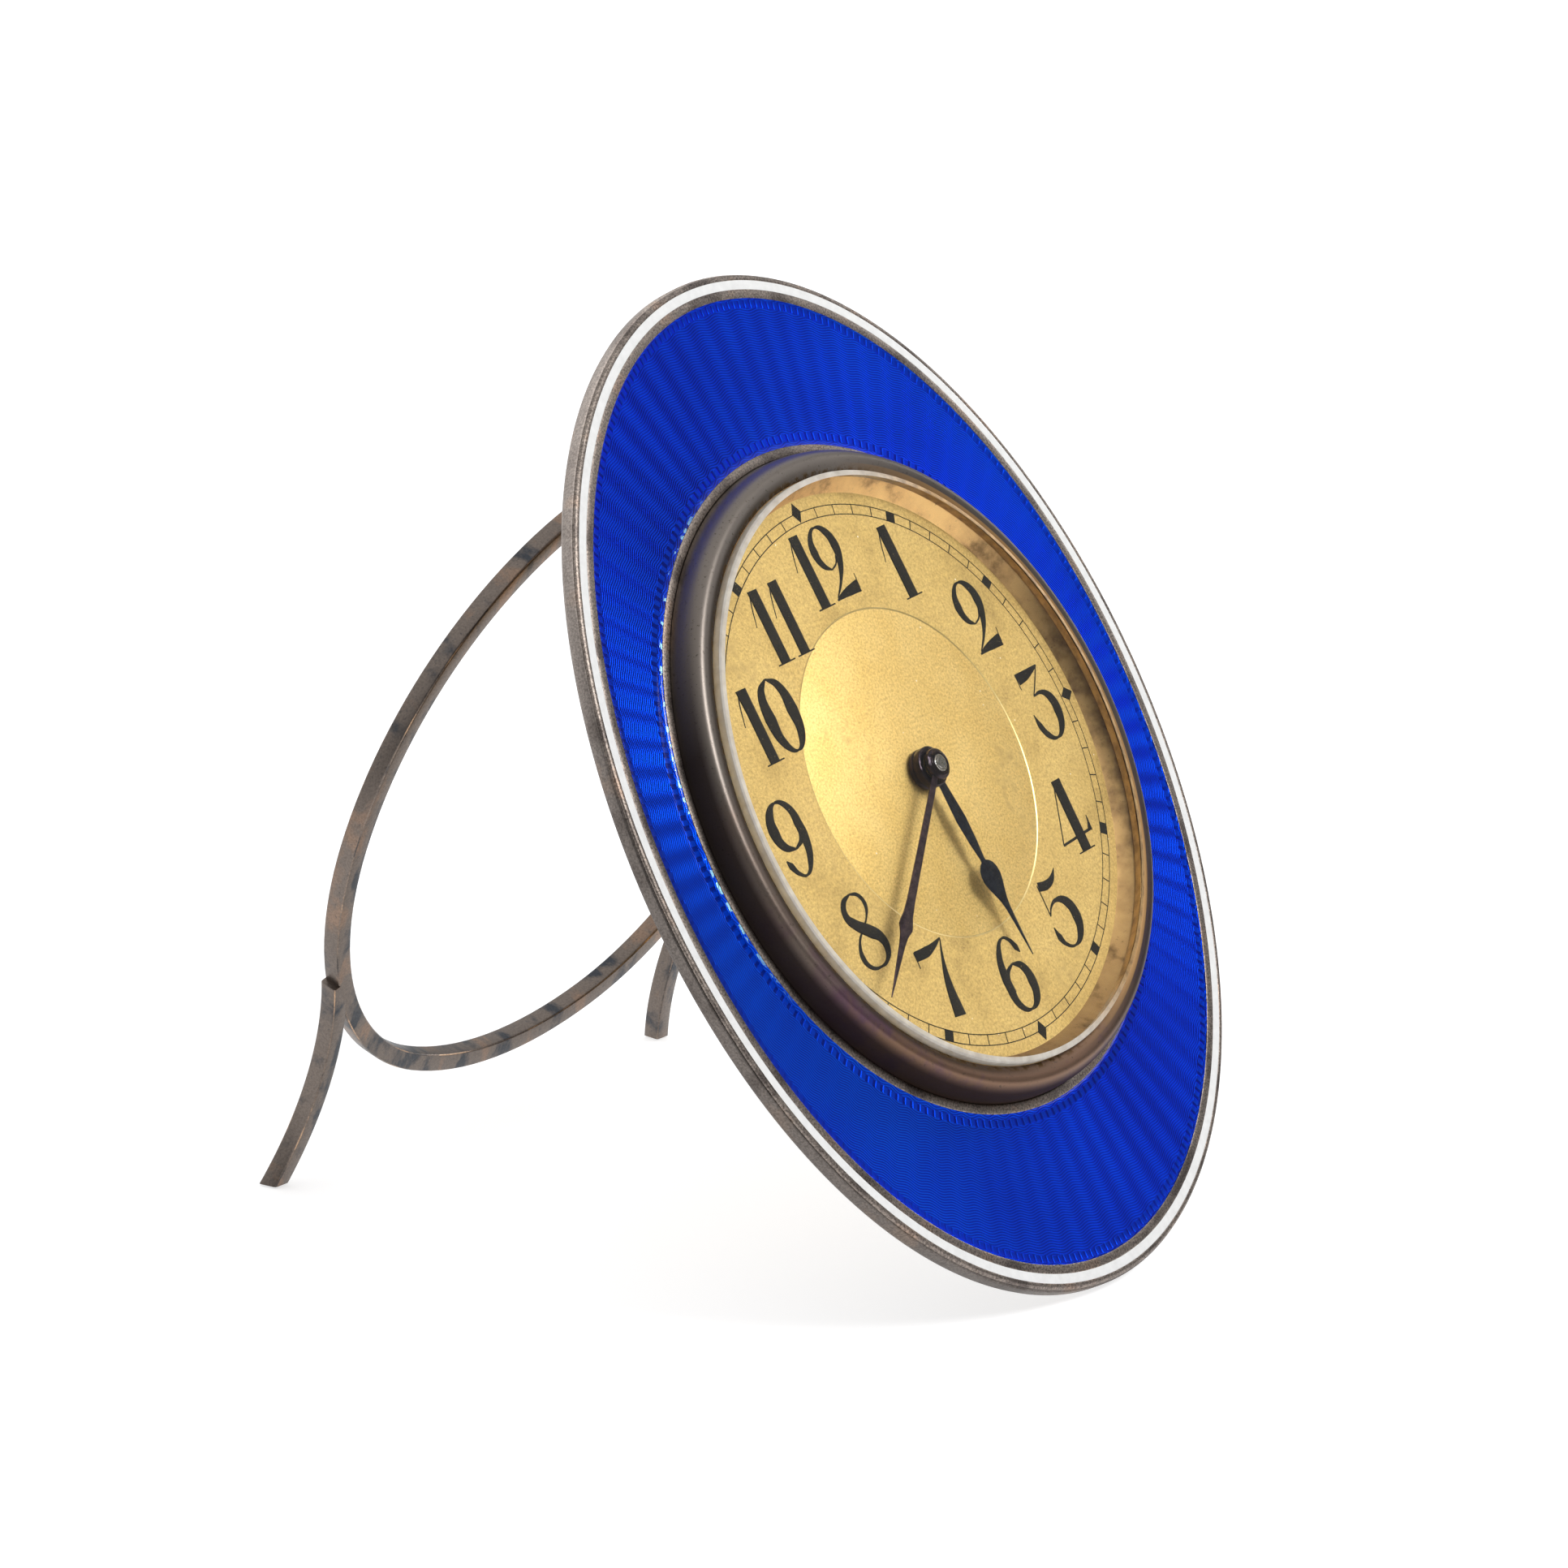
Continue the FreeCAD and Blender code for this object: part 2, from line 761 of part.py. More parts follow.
def escape_wheel():
    top = level(escape_wheel_drop)
    bottom = top - escape_wheel_thickness
    points = []
    pitch = 360 / escape_teeth
    root = escape_radius * escape_tooth_root_share
    for tooth in range(escape_teeth):
        tip = tooth * pitch
        points.append(polar(root, tip - escape_tooth_lean, *escape_spot))
        points.append(polar(escape_radius, tip, *escape_spot))
        points.append(polar(root, tip, *escape_spot))
    rim = slab(points, bottom, top)
    return rim.cut(rod(escape_arbor_radius, bottom - overrun, top + overrun, *escape_spot))


def escape_pinion():
    return joined(arbor(escape_spot, radius=escape_arbor_radius),
                  pinion_facing(fourth_wheel_drop, escape_leaves, fourth_module,
                                escape_pinion_phase, escape_spot))


# Barrel and winding work

def barrel():
    inner = barrel_module * barrel_teeth / 2 - wheel_dedendum_share * barrel_module - barrel_wall
    shell = rod(inner + barrel_wall, barrel_back, barrel_front, *barrel_spot)
    teeth = wheel(barrel_teeth, barrel_module, barrel_phase, barrel_spot,
                  barrel_back, barrel_gear_front, inner)
    body = joined(shell, teeth)
    hollow = rod(inner, barrel_back - overrun, barrel_front - barrel_floor, *barrel_spot)
    bore = rod(barrel_pivot_radius + running_fit, barrel_back - overrun, overrun, *barrel_spot)
    return body.cut(hollow).cut(bore)


def barrel_cover():
    inner = barrel_module * barrel_teeth / 2 - wheel_dedendum_share * barrel_module - barrel_wall
    return tube(inner, barrel_pivot_radius + running_fit, barrel_back,
                barrel_back + barrel_cover_thickness, *barrel_spot)


def mainspring():
    inner = barrel_module * barrel_teeth / 2 - wheel_dedendum_share * barrel_module - barrel_wall
    return spiral(barrel_core_radius + mainspring_gap, inner - running_fit, mainspring_turns,
                  mainspring_thickness, barrel_spot,
                  barrel_back + barrel_cover_thickness + mainspring_gap,
                  barrel_front - barrel_floor - mainspring_gap)


def square_post(z0, z1, side, spot):
    x, y = spot
    return block(x - side / 2, x + side / 2, y - side / 2, y + side / 2, z0, z1)


key_base_z = cap_back - setting_knob_gap + thin_gap
key_boss_back = key_base_z - key_boss_height
key_pin_z = key_boss_back - key_ear_height


def barrel_arbor():
    core_front = barrel_front - barrel_floor - seat_fit
    core_back = barrel_back + barrel_cover_thickness + seat_fit
    core = rod(barrel_core_radius, core_back, core_front, *barrel_spot)
    pivot = rod(barrel_pivot_radius, bridge_back, recess_floor, *barrel_spot)
    square = square_post(key_boss_back, bridge_back, barrel_square, barrel_spot)
    return joined(core, pivot, square)


def ratchet_wheel():
    top = bridge_back - running_fit
    points = []
    for tooth in range(ratchet_teeth):
        degrees = click_angle + tooth * 360 / ratchet_teeth
        points.append(polar(ratchet_radius, degrees, *barrel_spot))
        points.append(polar(ratchet_radius - ratchet_tooth_height, degrees, *barrel_spot))
    body = slab(points, top - ratchet_thickness, top)
    return body.cut(square_post(top - ratchet_thickness - overrun, top + overrun,
                                barrel_square, barrel_spot))


def click_point(radial, tangential):
    # a place given along and across the ratchet's radius at the tooth that the click holds
    x, y = polar(radial, click_angle, *barrel_spot)
    return polar(tangential, click_angle + 90, x, y)


click_reach = ratchet_radius + click_pivot_radius
click_swing = 4 * click_pivot_radius
click_spot = click_point(click_reach + running_fit, click_swing)


def click():
    top = bridge_back - running_fit
    bottom = top - click_thickness
    depth = ratchet_tooth_height
    nose = slab([click_point(ratchet_radius - depth * 3 / 4, running_fit),
                 click_point(ratchet_radius + depth / 2, depth * 9 / 5),
                 click_point(ratchet_radius + depth, click_swing),
                 click_point(ratchet_radius + depth * 3, click_swing),
                 click_point(ratchet_radius + depth * 5 / 2, depth),
                 click_point(ratchet_radius, running_fit)], bottom, top)
    body = joined(nose, rod(click_pivot_radius, bottom, top, *click_spot))
    return body.cut(rod(click_screw_radius + running_fit, bottom - overrun, top + overrun,
                        *click_spot))


def click_screw():
    seat = bridge_back - running_fit - click_thickness - running_fit
    return joined(rod(click_screw_radius, seat, bridge_front, *click_spot),
                  rod(click_screw_head_radius, seat - click_screw_head, seat, *click_spot))


def click_spring():
    bottom = bridge_back - click_thickness
    start = click_point(ratchet_radius + ratchet_tooth_height * 4, ratchet_tooth_height)
    foot = click_point(ratchet_radius + ratchet_tooth_height * 9, click_swing * 3 / 2)
    strip = bar(start, foot, click_spring_width, bottom, bridge_back)
    return joined(strip, rod(click_spring_foot_radius, bottom, bridge_back, *foot))


def rounded_ear(x0, x1, y, half_length, z_pin, z_base):
    # a hinge ear: a block under the pin with a round top about the pin's axis, along X
    length = x1 - x0
    post = block(x0, x1, y - half_length, y + half_length, z_pin, z_base)
    crown = Part.makeCylinder(half_length, length, vec(x0, y, z_pin), vec(1, 0, 0))
    return joined(post, crown)


def cross_pin(radius, x0, x1, y, z):
    return Part.makeCylinder(radius, x1 - x0, vec(x0, y, z), vec(1, 0, 0))


def winding_key_boss():
    x, y = barrel_spot
    body = rod(key_boss_radius, key_boss_back, key_base_z, x, y)
    inner = key_tongue_width / 2 + key_side_gap
    for side in (-1, 1):
        x0, x1 = sorted((x + side * inner, x + side * (inner + key_ear_width)))
        body = joined(body, rounded_ear(x0, x1, y, key_ear_half_length, key_pin_z, key_boss_back))
    body = body.cut(square_post(key_boss_back, key_base_z + overrun, barrel_square, barrel_spot))
    return body.cut(cross_pin(key_pin_radius, x - key_boss_radius - overrun,
                              x + key_boss_radius + overrun, y, key_pin_z))


def key_hinge_pin():
    x, y = barrel_spot
    reach = key_tongue_width / 2 + key_side_gap + key_ear_width
    return cross_pin(key_pin_radius, x - reach, x + reach, y, key_pin_z)


def winding_key_wing():
    x, y = barrel_spot
    half = key_tongue_width / 2
    knuckle = cross_pin(key_ear_height - key_side_gap, x - half, x + half, y, key_pin_z)
    shoulder = key_ear_half_length + thin_gap
    z0 = key_pin_z - key_wing_thickness / 2
    z1 = key_pin_z + key_wing_thickness / 2
    tongue = block(x - half, x + half, y, y + shoulder + overrun, z0, z1)
    wing = block(x - key_wing_width / 2, x + key_wing_width / 2, y + shoulder,
                 y + key_wing_length, z0, z1)
    corners = [e for e in wing.Edges if abs(e.BoundBox.ZLength - key_wing_thickness) < running_fit
               and e.BoundBox.YMin > y + key_wing_length - running_fit]
    wing = wing.makeFillet(key_wing_corner, corners)
    body = joined(knuckle, tongue, wing)
    return body.cut(cross_pin(key_pin_radius + running_fit, x - half - overrun,
                              x + half + overrun, y, key_pin_z))


# Escapement

def pallet_stones():
    top = level(escape_wheel_drop)
    stones = []
    for side in (-1, 1):
        angle = pallet_angle + side * pallet_span_angle
        near = polar(escape_radius + pallet_clearance, angle, *escape_spot)
        far = polar(escape_radius + pallet_clearance + pallet_stone_length, angle, *escape_spot)
        stones.append(bar(near, far, pallet_stone_width, top - escape_wheel_thickness, top))
    return Part.makeCompound(stones)


def pallet_fork():
    top = level(escape_wheel_drop)
    bottom = top - escape_wheel_thickness
    pieces = [rod(pallet_hub_radius, bottom, top, *pallet_spot)]
    for side in (-1, 1):
        angle = pallet_angle + side * pallet_span_angle
        seat = polar(escape_radius + pallet_clearance + pallet_stone_length, angle, *escape_spot)
        pieces.append(bar(pallet_spot, seat, pallet_arm_width, bottom, top))
        pieces.append(rod(pallet_arm_width / 2, bottom, top, *seat))
    tip_reach = impulse_pin_reach - fork_tip_gap
    tip = polar(balance_distance - tip_reach, balance_angle, *pallet_spot)
    neck = polar(balance_distance - tip_reach - fork_width, balance_angle, *pallet_spot)
    slot_end = polar(balance_distance - tip_reach - fork_width / 2, balance_angle, *pallet_spot)
    past = polar(balance_distance, balance_angle, *pallet_spot)
    pieces.append(bar(pallet_spot, neck, fork_arm_width, bottom, top))
    pieces.append(bar(neck, tip, fork_width, bottom, top))
    body = joined(*pieces)
    body = body.cut(bar(slot_end, past, fork_slot_width, bottom - overrun, top + overrun))
    for stone in pallet_stones().Solids:
        body = body.cut(stone)
    shaft = arbor(pallet_spot, radius=pivot_radius + running_fit)
    return joined(body, shaft)


def balance_wheel():
    top = level(balance_drop)
    bottom = top - balance_rim_thickness
    rim = tube(balance_radius, balance_radius - balance_rim, bottom, top, *balance_spot)
    x, y = balance_spot
    reach = balance_radius - balance_rim / 2
    arm = block(x - reach, x + reach, y - balance_arm_width / 2, y + balance_arm_width / 2,
                bottom, top)
    body = joined(rim, arm, rod(balance_hub_radius, bottom, top, x, y))
    return body.cut(rod(staff_radius, bottom - overrun, top + overrun, x, y))


def balance_staff():
    roller_front = level(escape_wheel_drop) - escape_wheel_thickness - roller_gap
    front = main_back - pivot_shoulder_gap
    back = cock_front + pivot_shoulder_gap
    x, y = balance_spot
    pin_x, pin_y = polar(impulse_pin_reach, balance_angle + 180, x, y)
    return joined(rod(staff_radius, back, front, x, y),
                  rod(pivot_radius, back - cock_thickness, front + pivot_length, x, y),
                  rod(roller_radius, roller_front - roller_thickness, roller_front, x, y),
                  rod(impulse_pin_radius, roller_front, level(escape_wheel_drop) + roller_gap,
                      pin_x, pin_y))


def hairspring():
    top = level(hairspring_drop)
    coil = spiral(hairspring_inner_radius, hairspring_outer_radius, hairspring_turns,
                  hairspring_thickness, balance_spot, top - hairspring_height, top)
    collet = tube(hairspring_inner_radius + hairspring_thickness, staff_radius,
                  top - hairspring_height, top, *balance_spot)
    return joined(coil, collet)


cock_front = bridge_back + cock_thickness


def balance_cock():
    foot = (cock_foot_x, cock_foot_y)
    foot_body = rod(cock_foot_radius, bridge_back, main_back, *foot)
    span = bar(foot, balance_spot, 2 * cock_end_radius, bridge_back, cock_front)
    end = rod(cock_end_radius, bridge_back, cock_front, *balance_spot)
    collar = rod(index_collar_radius, bridge_back - index_thickness - running_fit, bridge_back,
                 *balance_spot)
    reach = hairspring_outer_radius + running_fit + stud_width / 2
    stud_x, stud_y = polar(reach, direction(balance_spot, foot), *balance_spot)
    stud_bottom = level(hairspring_drop) - hairspring_height
    stud = block(stud_x - stud_width / 2, stud_x + stud_width / 2, stud_y - stud_width / 2,
                 stud_y + stud_width / 2, cock_front, level(hairspring_drop))
    body = joined(foot_body, span, end, collar, stud)
    hole = rod(pivot_radius + running_fit, bridge_back - overrun, stud_bottom, *balance_spot)
    screw_hole = rod(bridge_screw_radius, bridge_back - overrun,
                     bridge_back + bridge_screw_length, *foot)
    return body.cut(hole).cut(screw_hole)


def regulator_index():
    top = bridge_back
    bottom = top - index_thickness
    tip = polar(index_length, index_angle, *balance_spot)
    body = joined(rod(index_ring_radius, bottom, top, *balance_spot),
                  bar(balance_spot, tip, index_width, bottom, top))
    return body.cut(rod(index_bore_radius, bottom - overrun, top + overrun, *balance_spot))


# Motion works and hands

cannon_module = 2 * motion_distance / (cannon_leaves + minute_wheel_teeth)
hour_module = 2 * motion_distance / (minute_wheel_leaves + hour_wheel_teeth)
motion_base = recess_floor + motion_floor_gap
motion_top = motion_base + motion_wheel_thickness
minute_phase = 0
cannon_phase = mesh_phase(minute_phase, minute_wheel_teeth,
                          direction(minute_stud_spot, centre), cannon_leaves)
setting_phase = mesh_phase(minute_phase, minute_wheel_teeth,
                           direction(minute_stud_spot, setting_spot), setting_leaves)
minute_pinion_phase = 0
hour_phase = mesh_phase(minute_pinion_phase, minute_wheel_leaves,
                        direction(minute_stud_spot, centre), hour_wheel_teeth)
hour_wheel_top = main_front - hour_wheel_drop


def cannon_pinion():
    head = leaves(cannon_leaves, cannon_module, cannon_phase, centre, motion_base,
                  motion_top + running_fit)
    body = joined(head, rod(cannon_pipe_radius, motion_base,
                            minute_collet_base_z + minute_collet_height))
    return body.cut(rod(centre_arbor_radius + running_fit, motion_base - overrun,
                        arbor_tip_z + overrun))


def minute_wheel():
    flat = wheel(minute_wheel_teeth, cannon_module, minute_phase, minute_stud_spot,
                 motion_base, motion_top, stud_radius + running_fit)
    head = leaves(minute_wheel_leaves, hour_module, minute_pinion_phase, minute_stud_spot,
                  motion_top, motion_top + motion_pinion_height)
    bore = rod(stud_radius + running_fit, motion_top - overrun,
               motion_top + motion_pinion_height + overrun, *minute_stud_spot)
    return joined(flat, head.cut(bore))


def minute_wheel_stud():
    return rod(stud_radius, main_back, motion_top + motion_pinion_height, *minute_stud_spot)


def hour_wheel():
    flat = wheel(hour_wheel_teeth, hour_module, hour_phase, centre,
                 hour_wheel_top - motion_wheel_thickness, hour_wheel_top,
                 cannon_pipe_radius + running_fit)
    pipe = tube(hour_pipe_radius, cannon_pipe_radius + running_fit, hour_wheel_top,
                dial_face_z + hour_collet_base_gap + hour_collet_height)
    return joined(flat, pipe)


def setting_arbor():
    shaft = rod(setting_arbor_radius, cap_back - setting_knob_gap, motion_top, *setting_spot)
    head = leaves(setting_leaves, cannon_module, setting_phase, setting_spot,
                  motion_base, motion_top)
    return joined(shaft, head)


def setting_knob():
    front = cap_back - setting_knob_gap
    back = front - setting_knob_height
    points = []
    for knurl in range(setting_knob_knurls):
        degrees = knurl * 360 / setting_knob_knurls
        points.append(polar(setting_knob_radius, degrees, *setting_spot))
        points.append(polar(setting_knob_radius - setting_knob_knurl_depth,
                            degrees + 180 / setting_knob_knurls, *setting_spot))
    return slab(points, back, front)


def hand_outline(length, width, shares):
    right = [(width * half, length * along) for along, half in shares]
    left = [(-px, py) for px, py in reversed(right)]
    return right + left


def turned_to(shape, clockwise):
    shape.rotate(vec(0, 0), vec(0, 0, 1), -clockwise)
    return shape


def hour_hand():
    top = hour_hand_base_z + hand_thickness
    stem = slab(hand_outline(hour_hand_length, hour_hand_bulb_radius, hour_stem_shares),
                hour_hand_base_z, top)
    tail = slab(hand_outline(hour_hand_length, hour_hand_bulb_radius, hour_tail_shares),
                hour_hand_base_z, top)
    bulb = rod(hour_hand_bulb_radius, hour_hand_base_z, top, 0, hour_hand_bulb_reach)
    boss = rod(hour_collet_radius, hour_hand_base_z, top)
    body = joined(stem, tail, bulb, boss)
    body = body.cut(rod(hour_pipe_radius, hour_hand_base_z - overrun, top + overrun))
    return turned_to(body, hour_hand_angle)


def hour_collet():
    base = dial_face_z + hour_collet_base_gap
    return tube(hour_collet_radius, hour_pipe_radius, base, hour_hand_base_z)


def minute_hand():
    top = minute_hand_base_z + hand_thickness
    blade = slab(hand_outline(minute_hand_length, minute_hand_width, minute_hand_shares),
                 minute_hand_base_z, top)
    body = blade.cut(rod(minute_collet_radius, minute_hand_base_z - overrun, top + overrun))
    return turned_to(body, minute_hand_angle)


def minute_collet():
    return tube(minute_collet_radius, cannon_pipe_radius, minute_collet_base_z,
                minute_collet_base_z + minute_collet_height)


# Strut, drawn flat behind the plate with the hinge axis on X and the feet towards -Y

wire_half = strut_wire / 2


def loop_face(offset):
    # the loop's outline: a half round above its widest line, two shoulder arcs and a flat bow
    crown = loop_crown_radius + offset
    widest = -loop_widest_drop
    bottom_centre = -loop_bottom_drop + loop_bottom_radius
    rise = widest - bottom_centre
    side_radius = ((loop_bottom_radius ** 2 - loop_crown_radius ** 2 - rise ** 2)
                   / (2 * (loop_bottom_radius - loop_crown_radius)))
    side_x = loop_crown_radius - side_radius
    reach = math.hypot(side_x, rise)
    ux, uy = side_x / reach, rise / reach
    bow = loop_bottom_radius + offset
    corner = (bow * ux, bottom_centre + bow * uy)
    side = side_radius + offset
    half_turn = math.atan2(uy, ux) / 2
    knee = (side_x + side * math.cos(half_turn), widest + side * math.sin(half_turn))
    left, right = vec(-crown, widest), vec(crown, widest)
    edges = [Part.Arc(right, vec(0, widest + crown), left),
             Part.Arc(left, vec(-knee[0], knee[1]), vec(-corner[0], corner[1])),
             Part.Arc(vec(-corner[0], corner[1]), vec(0, bottom_centre - bow),
                      vec(corner[0], corner[1])),
             Part.Arc(vec(corner[0], corner[1]), vec(knee[0], knee[1]), right)]
    return Part.Face(Part.Wire([e.toShape() for e in edges]))


def loop_solid(offset, half):
    face = loop_face(offset)
    face.translate(vec(0, 0, -half))
    return face.extrude(vec(0, 0, 2 * half))


def rounded_wire(shape):
    return shape.makeFillet(strut_wire_round, shape.Edges)


def strut_loop():
    body = loop_solid(wire_half, wire_half).cut(loop_solid(-wire_half, wire_half + overrun))
    return rounded_wire(body)


def bevelled_square(x, y):
    # the wire's section, square to Y, with its corners taken off
    flat = wire_half - strut_wire_round
    corners = [(wire_half, -flat), (wire_half, flat), (flat, wire_half), (-flat, wire_half),
               (-wire_half, flat), (-wire_half, -flat), (-flat, -wire_half), (flat, -wire_half)]
    spots = [vec(x + px, y, pz) for px, pz in corners]
    return Part.Face(Part.makePolygon(spots + spots[:1]))


def strut_foot():
    # one bow of wire, its top end filed to the loop's flank and its bottom end on the table
    hub = vec(-foot_waist_half_gap - foot_radius, -foot_waist_drop)
    rise = math.degrees(math.asin((foot_waist_drop - foot_top_drop) / foot_radius))
    section = bevelled_square(hub.x + foot_radius, hub.y)
    section.rotate(hub, vec(0, 0, 1), rise)
    bow = section.revolve(hub, vec(0, 0, 1), -rise - foot_spread_angle)
    return bow.cut(loop_solid(wire_half, strut_wire))


def strut_leaf():
    half = leaf_thickness / 2
    top_of_loop = loop_widest_drop - loop_crown_radius - wire_half
    heel = (hinge_standoff - running_fit - half * math.cos(math.radians(strut_open_angle))) \
        / math.sin(math.radians(strut_open_angle))
    plate = block(-leaf_width / 2 + seat_fit, leaf_width / 2 - seat_fit,
                  -top_of_loop - wire_half, heel, -half, half)
    knuckle = cross_pin(hinge_knuckle_radius, -leaf_width / 2 + seat_fit,
                        leaf_width / 2 - seat_fit, 0, 0)
    body = joined(plate, knuckle).cut(loop_solid(wire_half, wire_half + overrun))
    return body.cut(cross_pin(hinge_pin_radius + running_fit, -leaf_width, leaf_width, 0, 0))


def opened(shape):
    shape.rotate(vec(0, 0), vec(1, 0, 0), strut_open_angle)
    shape.translate(vec(0, hinge_height, hinge_z))
    return shape


def strut_hinge_knuckles():
    knuckles = []
    for side in (-1, 1):
        x0, x1 = sorted((side * leaf_width / 2, side * (leaf_width / 2 + hinge_knuckle_length)))
        ear = rounded_ear(x0, x1, hinge_height, hinge_knuckle_radius, hinge_z, tray_back)
        knuckles.append(ear.cut(cross_pin(hinge_pin_radius, x0 - overrun, x1 + overrun,
                                          hinge_height, hinge_z)))
    return Part.makeCompound(knuckles)


def strut_hinge_pin():
    reach = leaf_width / 2 + hinge_knuckle_length + hinge_pin_end
    return cross_pin(hinge_pin_radius, -reach, reach, hinge_height, hinge_z)


# Standing the clock up: lean it back, set it on its lowest edge, centre it over its footprint

lean = math.radians(lean_angle)


def standing_point(x, y, z):
    return (x, y * math.sin(lean) - z * math.cos(lean), y * math.cos(lean) + z * math.sin(lean))


edge_y = -(plate_half_height - tray_round)
edge_z = tray_back + tray_round
floor_drop = standing_point(0, edge_y, edge_z)[2] - tray_round
prop_angle = math.radians(strut_open_angle - lean_angle)
hinge_back, hinge_up = standing_point(0, hinge_height, hinge_z)[1:]
strut_length = (hinge_up - floor_drop) / math.cos(prop_angle)
foot_back = hinge_back + strut_length * math.sin(prop_angle) + wire_half / math.cos(prop_angle)
border_y = -(plate_half_height - front_lap_inset - border_round)
front_edge = standing_point(0, border_y, border_rise - border_round)[1] - border_round
stance = FreeCAD.Placement(vec(0, -(front_edge + foot_back) / 2, -floor_drop),
                           FreeCAD.Rotation(vec(1, 0, 0), 90 - lean_angle))


def trimmed_foot():
    # the foot is cut flat where it meets the table
    foot = opened(strut_foot())
    foot.Placement = stance.multiply(foot.Placement)
    reach = plate_half_height * 4
    below = Part.makeBox(reach, reach, reach, vec(-reach / 2, -reach / 2, -reach))
    return foot.cut(below)


fixed = {
    "front_plate": front_plate, "white_enamel_line": white_enamel_line,
    "blue_enamel": blue_enamel, "back_plate": back_plate, "bezel": bezel, "glass": glass,
    "reflector_ring": reflector_ring, "dial": dial, "case_drum": case_drum,
    "back_cap": back_cap, "case_screws": case_screws, "main_plate": main_plate,
    "train_bridge": train_bridge, "plate_pillars": plate_pillars,
    "bridge_screws": bridge_screws, "balance_cock": balance_cock,
    "regulator_index": regulator_index, "click": click, "click_screw": click_screw,
    "click_spring": click_spring, "barrel": barrel, "barrel_cover": barrel_cover,
    "mainspring": mainspring, "barrel_arbor": barrel_arbor, "ratchet_wheel": ratchet_wheel,
    "winding_key_boss": winding_key_boss, "key_hinge_pin": key_hinge_pin,
    "winding_key_wing": winding_key_wing, "intermediate_wheel": intermediate_wheel,
    "intermediate_pinion": intermediate_pinion, "centre_wheel": centre_wheel,
    "centre_arbor": centre_arbor, "third_wheel": third_wheel, "third_pinion": third_pinion,
    "fourth_wheel": fourth_wheel, "fourth_pinion": fourth_pinion,
    "escape_wheel": escape_wheel, "escape_pinion": escape_pinion,
    "pallet_fork": pallet_fork, "pallet_stones": pallet_stones,
    "balance_wheel": balance_wheel, "balance_staff": balance_staff, "hairspring": hairspring,
    "cannon_pinion": cannon_pinion, "minute_wheel": minute_wheel,
    "minute_wheel_stud": minute_wheel_stud, "hour_wheel": hour_wheel,
    "setting_arbor": setting_arbor, "setting_knob": setting_knob,
    "hour_hand": hour_hand, "hour_collet": hour_collet, "minute_hand": minute_hand,
    "minute_collet": minute_collet, "strut_hinge_knuckles": strut_hinge_knuckles,
    "strut_hinge_pin": strut_hinge_pin,
}


def standing(shape):
    shape.Placement = stance.multiply(shape.Placement)
    return shape


shapes = {name: standing(make()) for name, make in fixed.items()}
shapes["strut_loop"] = standing(opened(strut_loop()))
shapes["strut_leaf"] = standing(opened(strut_leaf()))
shapes["left_strut_foot"] = trimmed_foot()
shapes["right_strut_foot"] = shapes["left_strut_foot"].mirror(vec(0, 0), vec(1, 0))

os.makedirs("parts", exist_ok=True)
for name, shape in shapes.items():
    shape.exportStep(f"parts/{name}.step")
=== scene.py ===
import bpy
import math
from mathutils import Matrix, Vector


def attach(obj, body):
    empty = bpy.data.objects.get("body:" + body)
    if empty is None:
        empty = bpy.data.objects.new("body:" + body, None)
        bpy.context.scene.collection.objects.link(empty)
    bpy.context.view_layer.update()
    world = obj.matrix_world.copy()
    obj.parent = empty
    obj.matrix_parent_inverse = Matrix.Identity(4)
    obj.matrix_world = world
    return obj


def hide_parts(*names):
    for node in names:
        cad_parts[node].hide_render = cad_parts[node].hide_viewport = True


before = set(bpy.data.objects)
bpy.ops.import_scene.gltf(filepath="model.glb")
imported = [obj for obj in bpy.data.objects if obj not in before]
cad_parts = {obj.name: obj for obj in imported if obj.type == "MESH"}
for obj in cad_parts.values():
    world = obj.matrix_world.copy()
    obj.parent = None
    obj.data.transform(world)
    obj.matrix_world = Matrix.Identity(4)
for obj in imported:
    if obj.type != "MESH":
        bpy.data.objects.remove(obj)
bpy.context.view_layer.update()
bpy.context.scene.view_settings.view_transform = "Standard"

# The front plate: one piece of silver with a border, a thin line between the two enamels and
# a collar round the opening. It is pressed and turned, then toned brown-grey by a century of air.
# The clock is drawn lying on its back in millimetres, then leaned back 30.7 degrees and stood up.
stand_up = math.radians(59.3)
plate_middle = (0, -0.01349039, 0.04689607)
millimetre = 0.001
stance = (Matrix.Translation(plate_middle) @ Matrix.Rotation(stand_up, 4, "X")
          @ Matrix.Scale(millimetre, 4))


def fresh():
    # out of edit mode, with nothing selected
    if bpy.context.object and bpy.context.object.mode != "OBJECT":
        bpy.ops.object.mode_set(mode="OBJECT")
    bpy.ops.object.select_all(action="DESELECT")


def only(piece):
    fresh()
    piece.select_set(True)
    bpy.context.view_layer.objects.active = piece


def open_up():
    # into edit mode, with all of the piece selected
    bpy.ops.object.mode_set(mode="EDIT")
    bpy.ops.mesh.select_all(action="SELECT")


def close_up():
    # turns the faces outwards and leaves edit mode
    bpy.ops.mesh.select_all(action="SELECT")
    bpy.ops.mesh.normals_make_consistent(inside=False)
    bpy.ops.object.mode_set(mode="OBJECT")


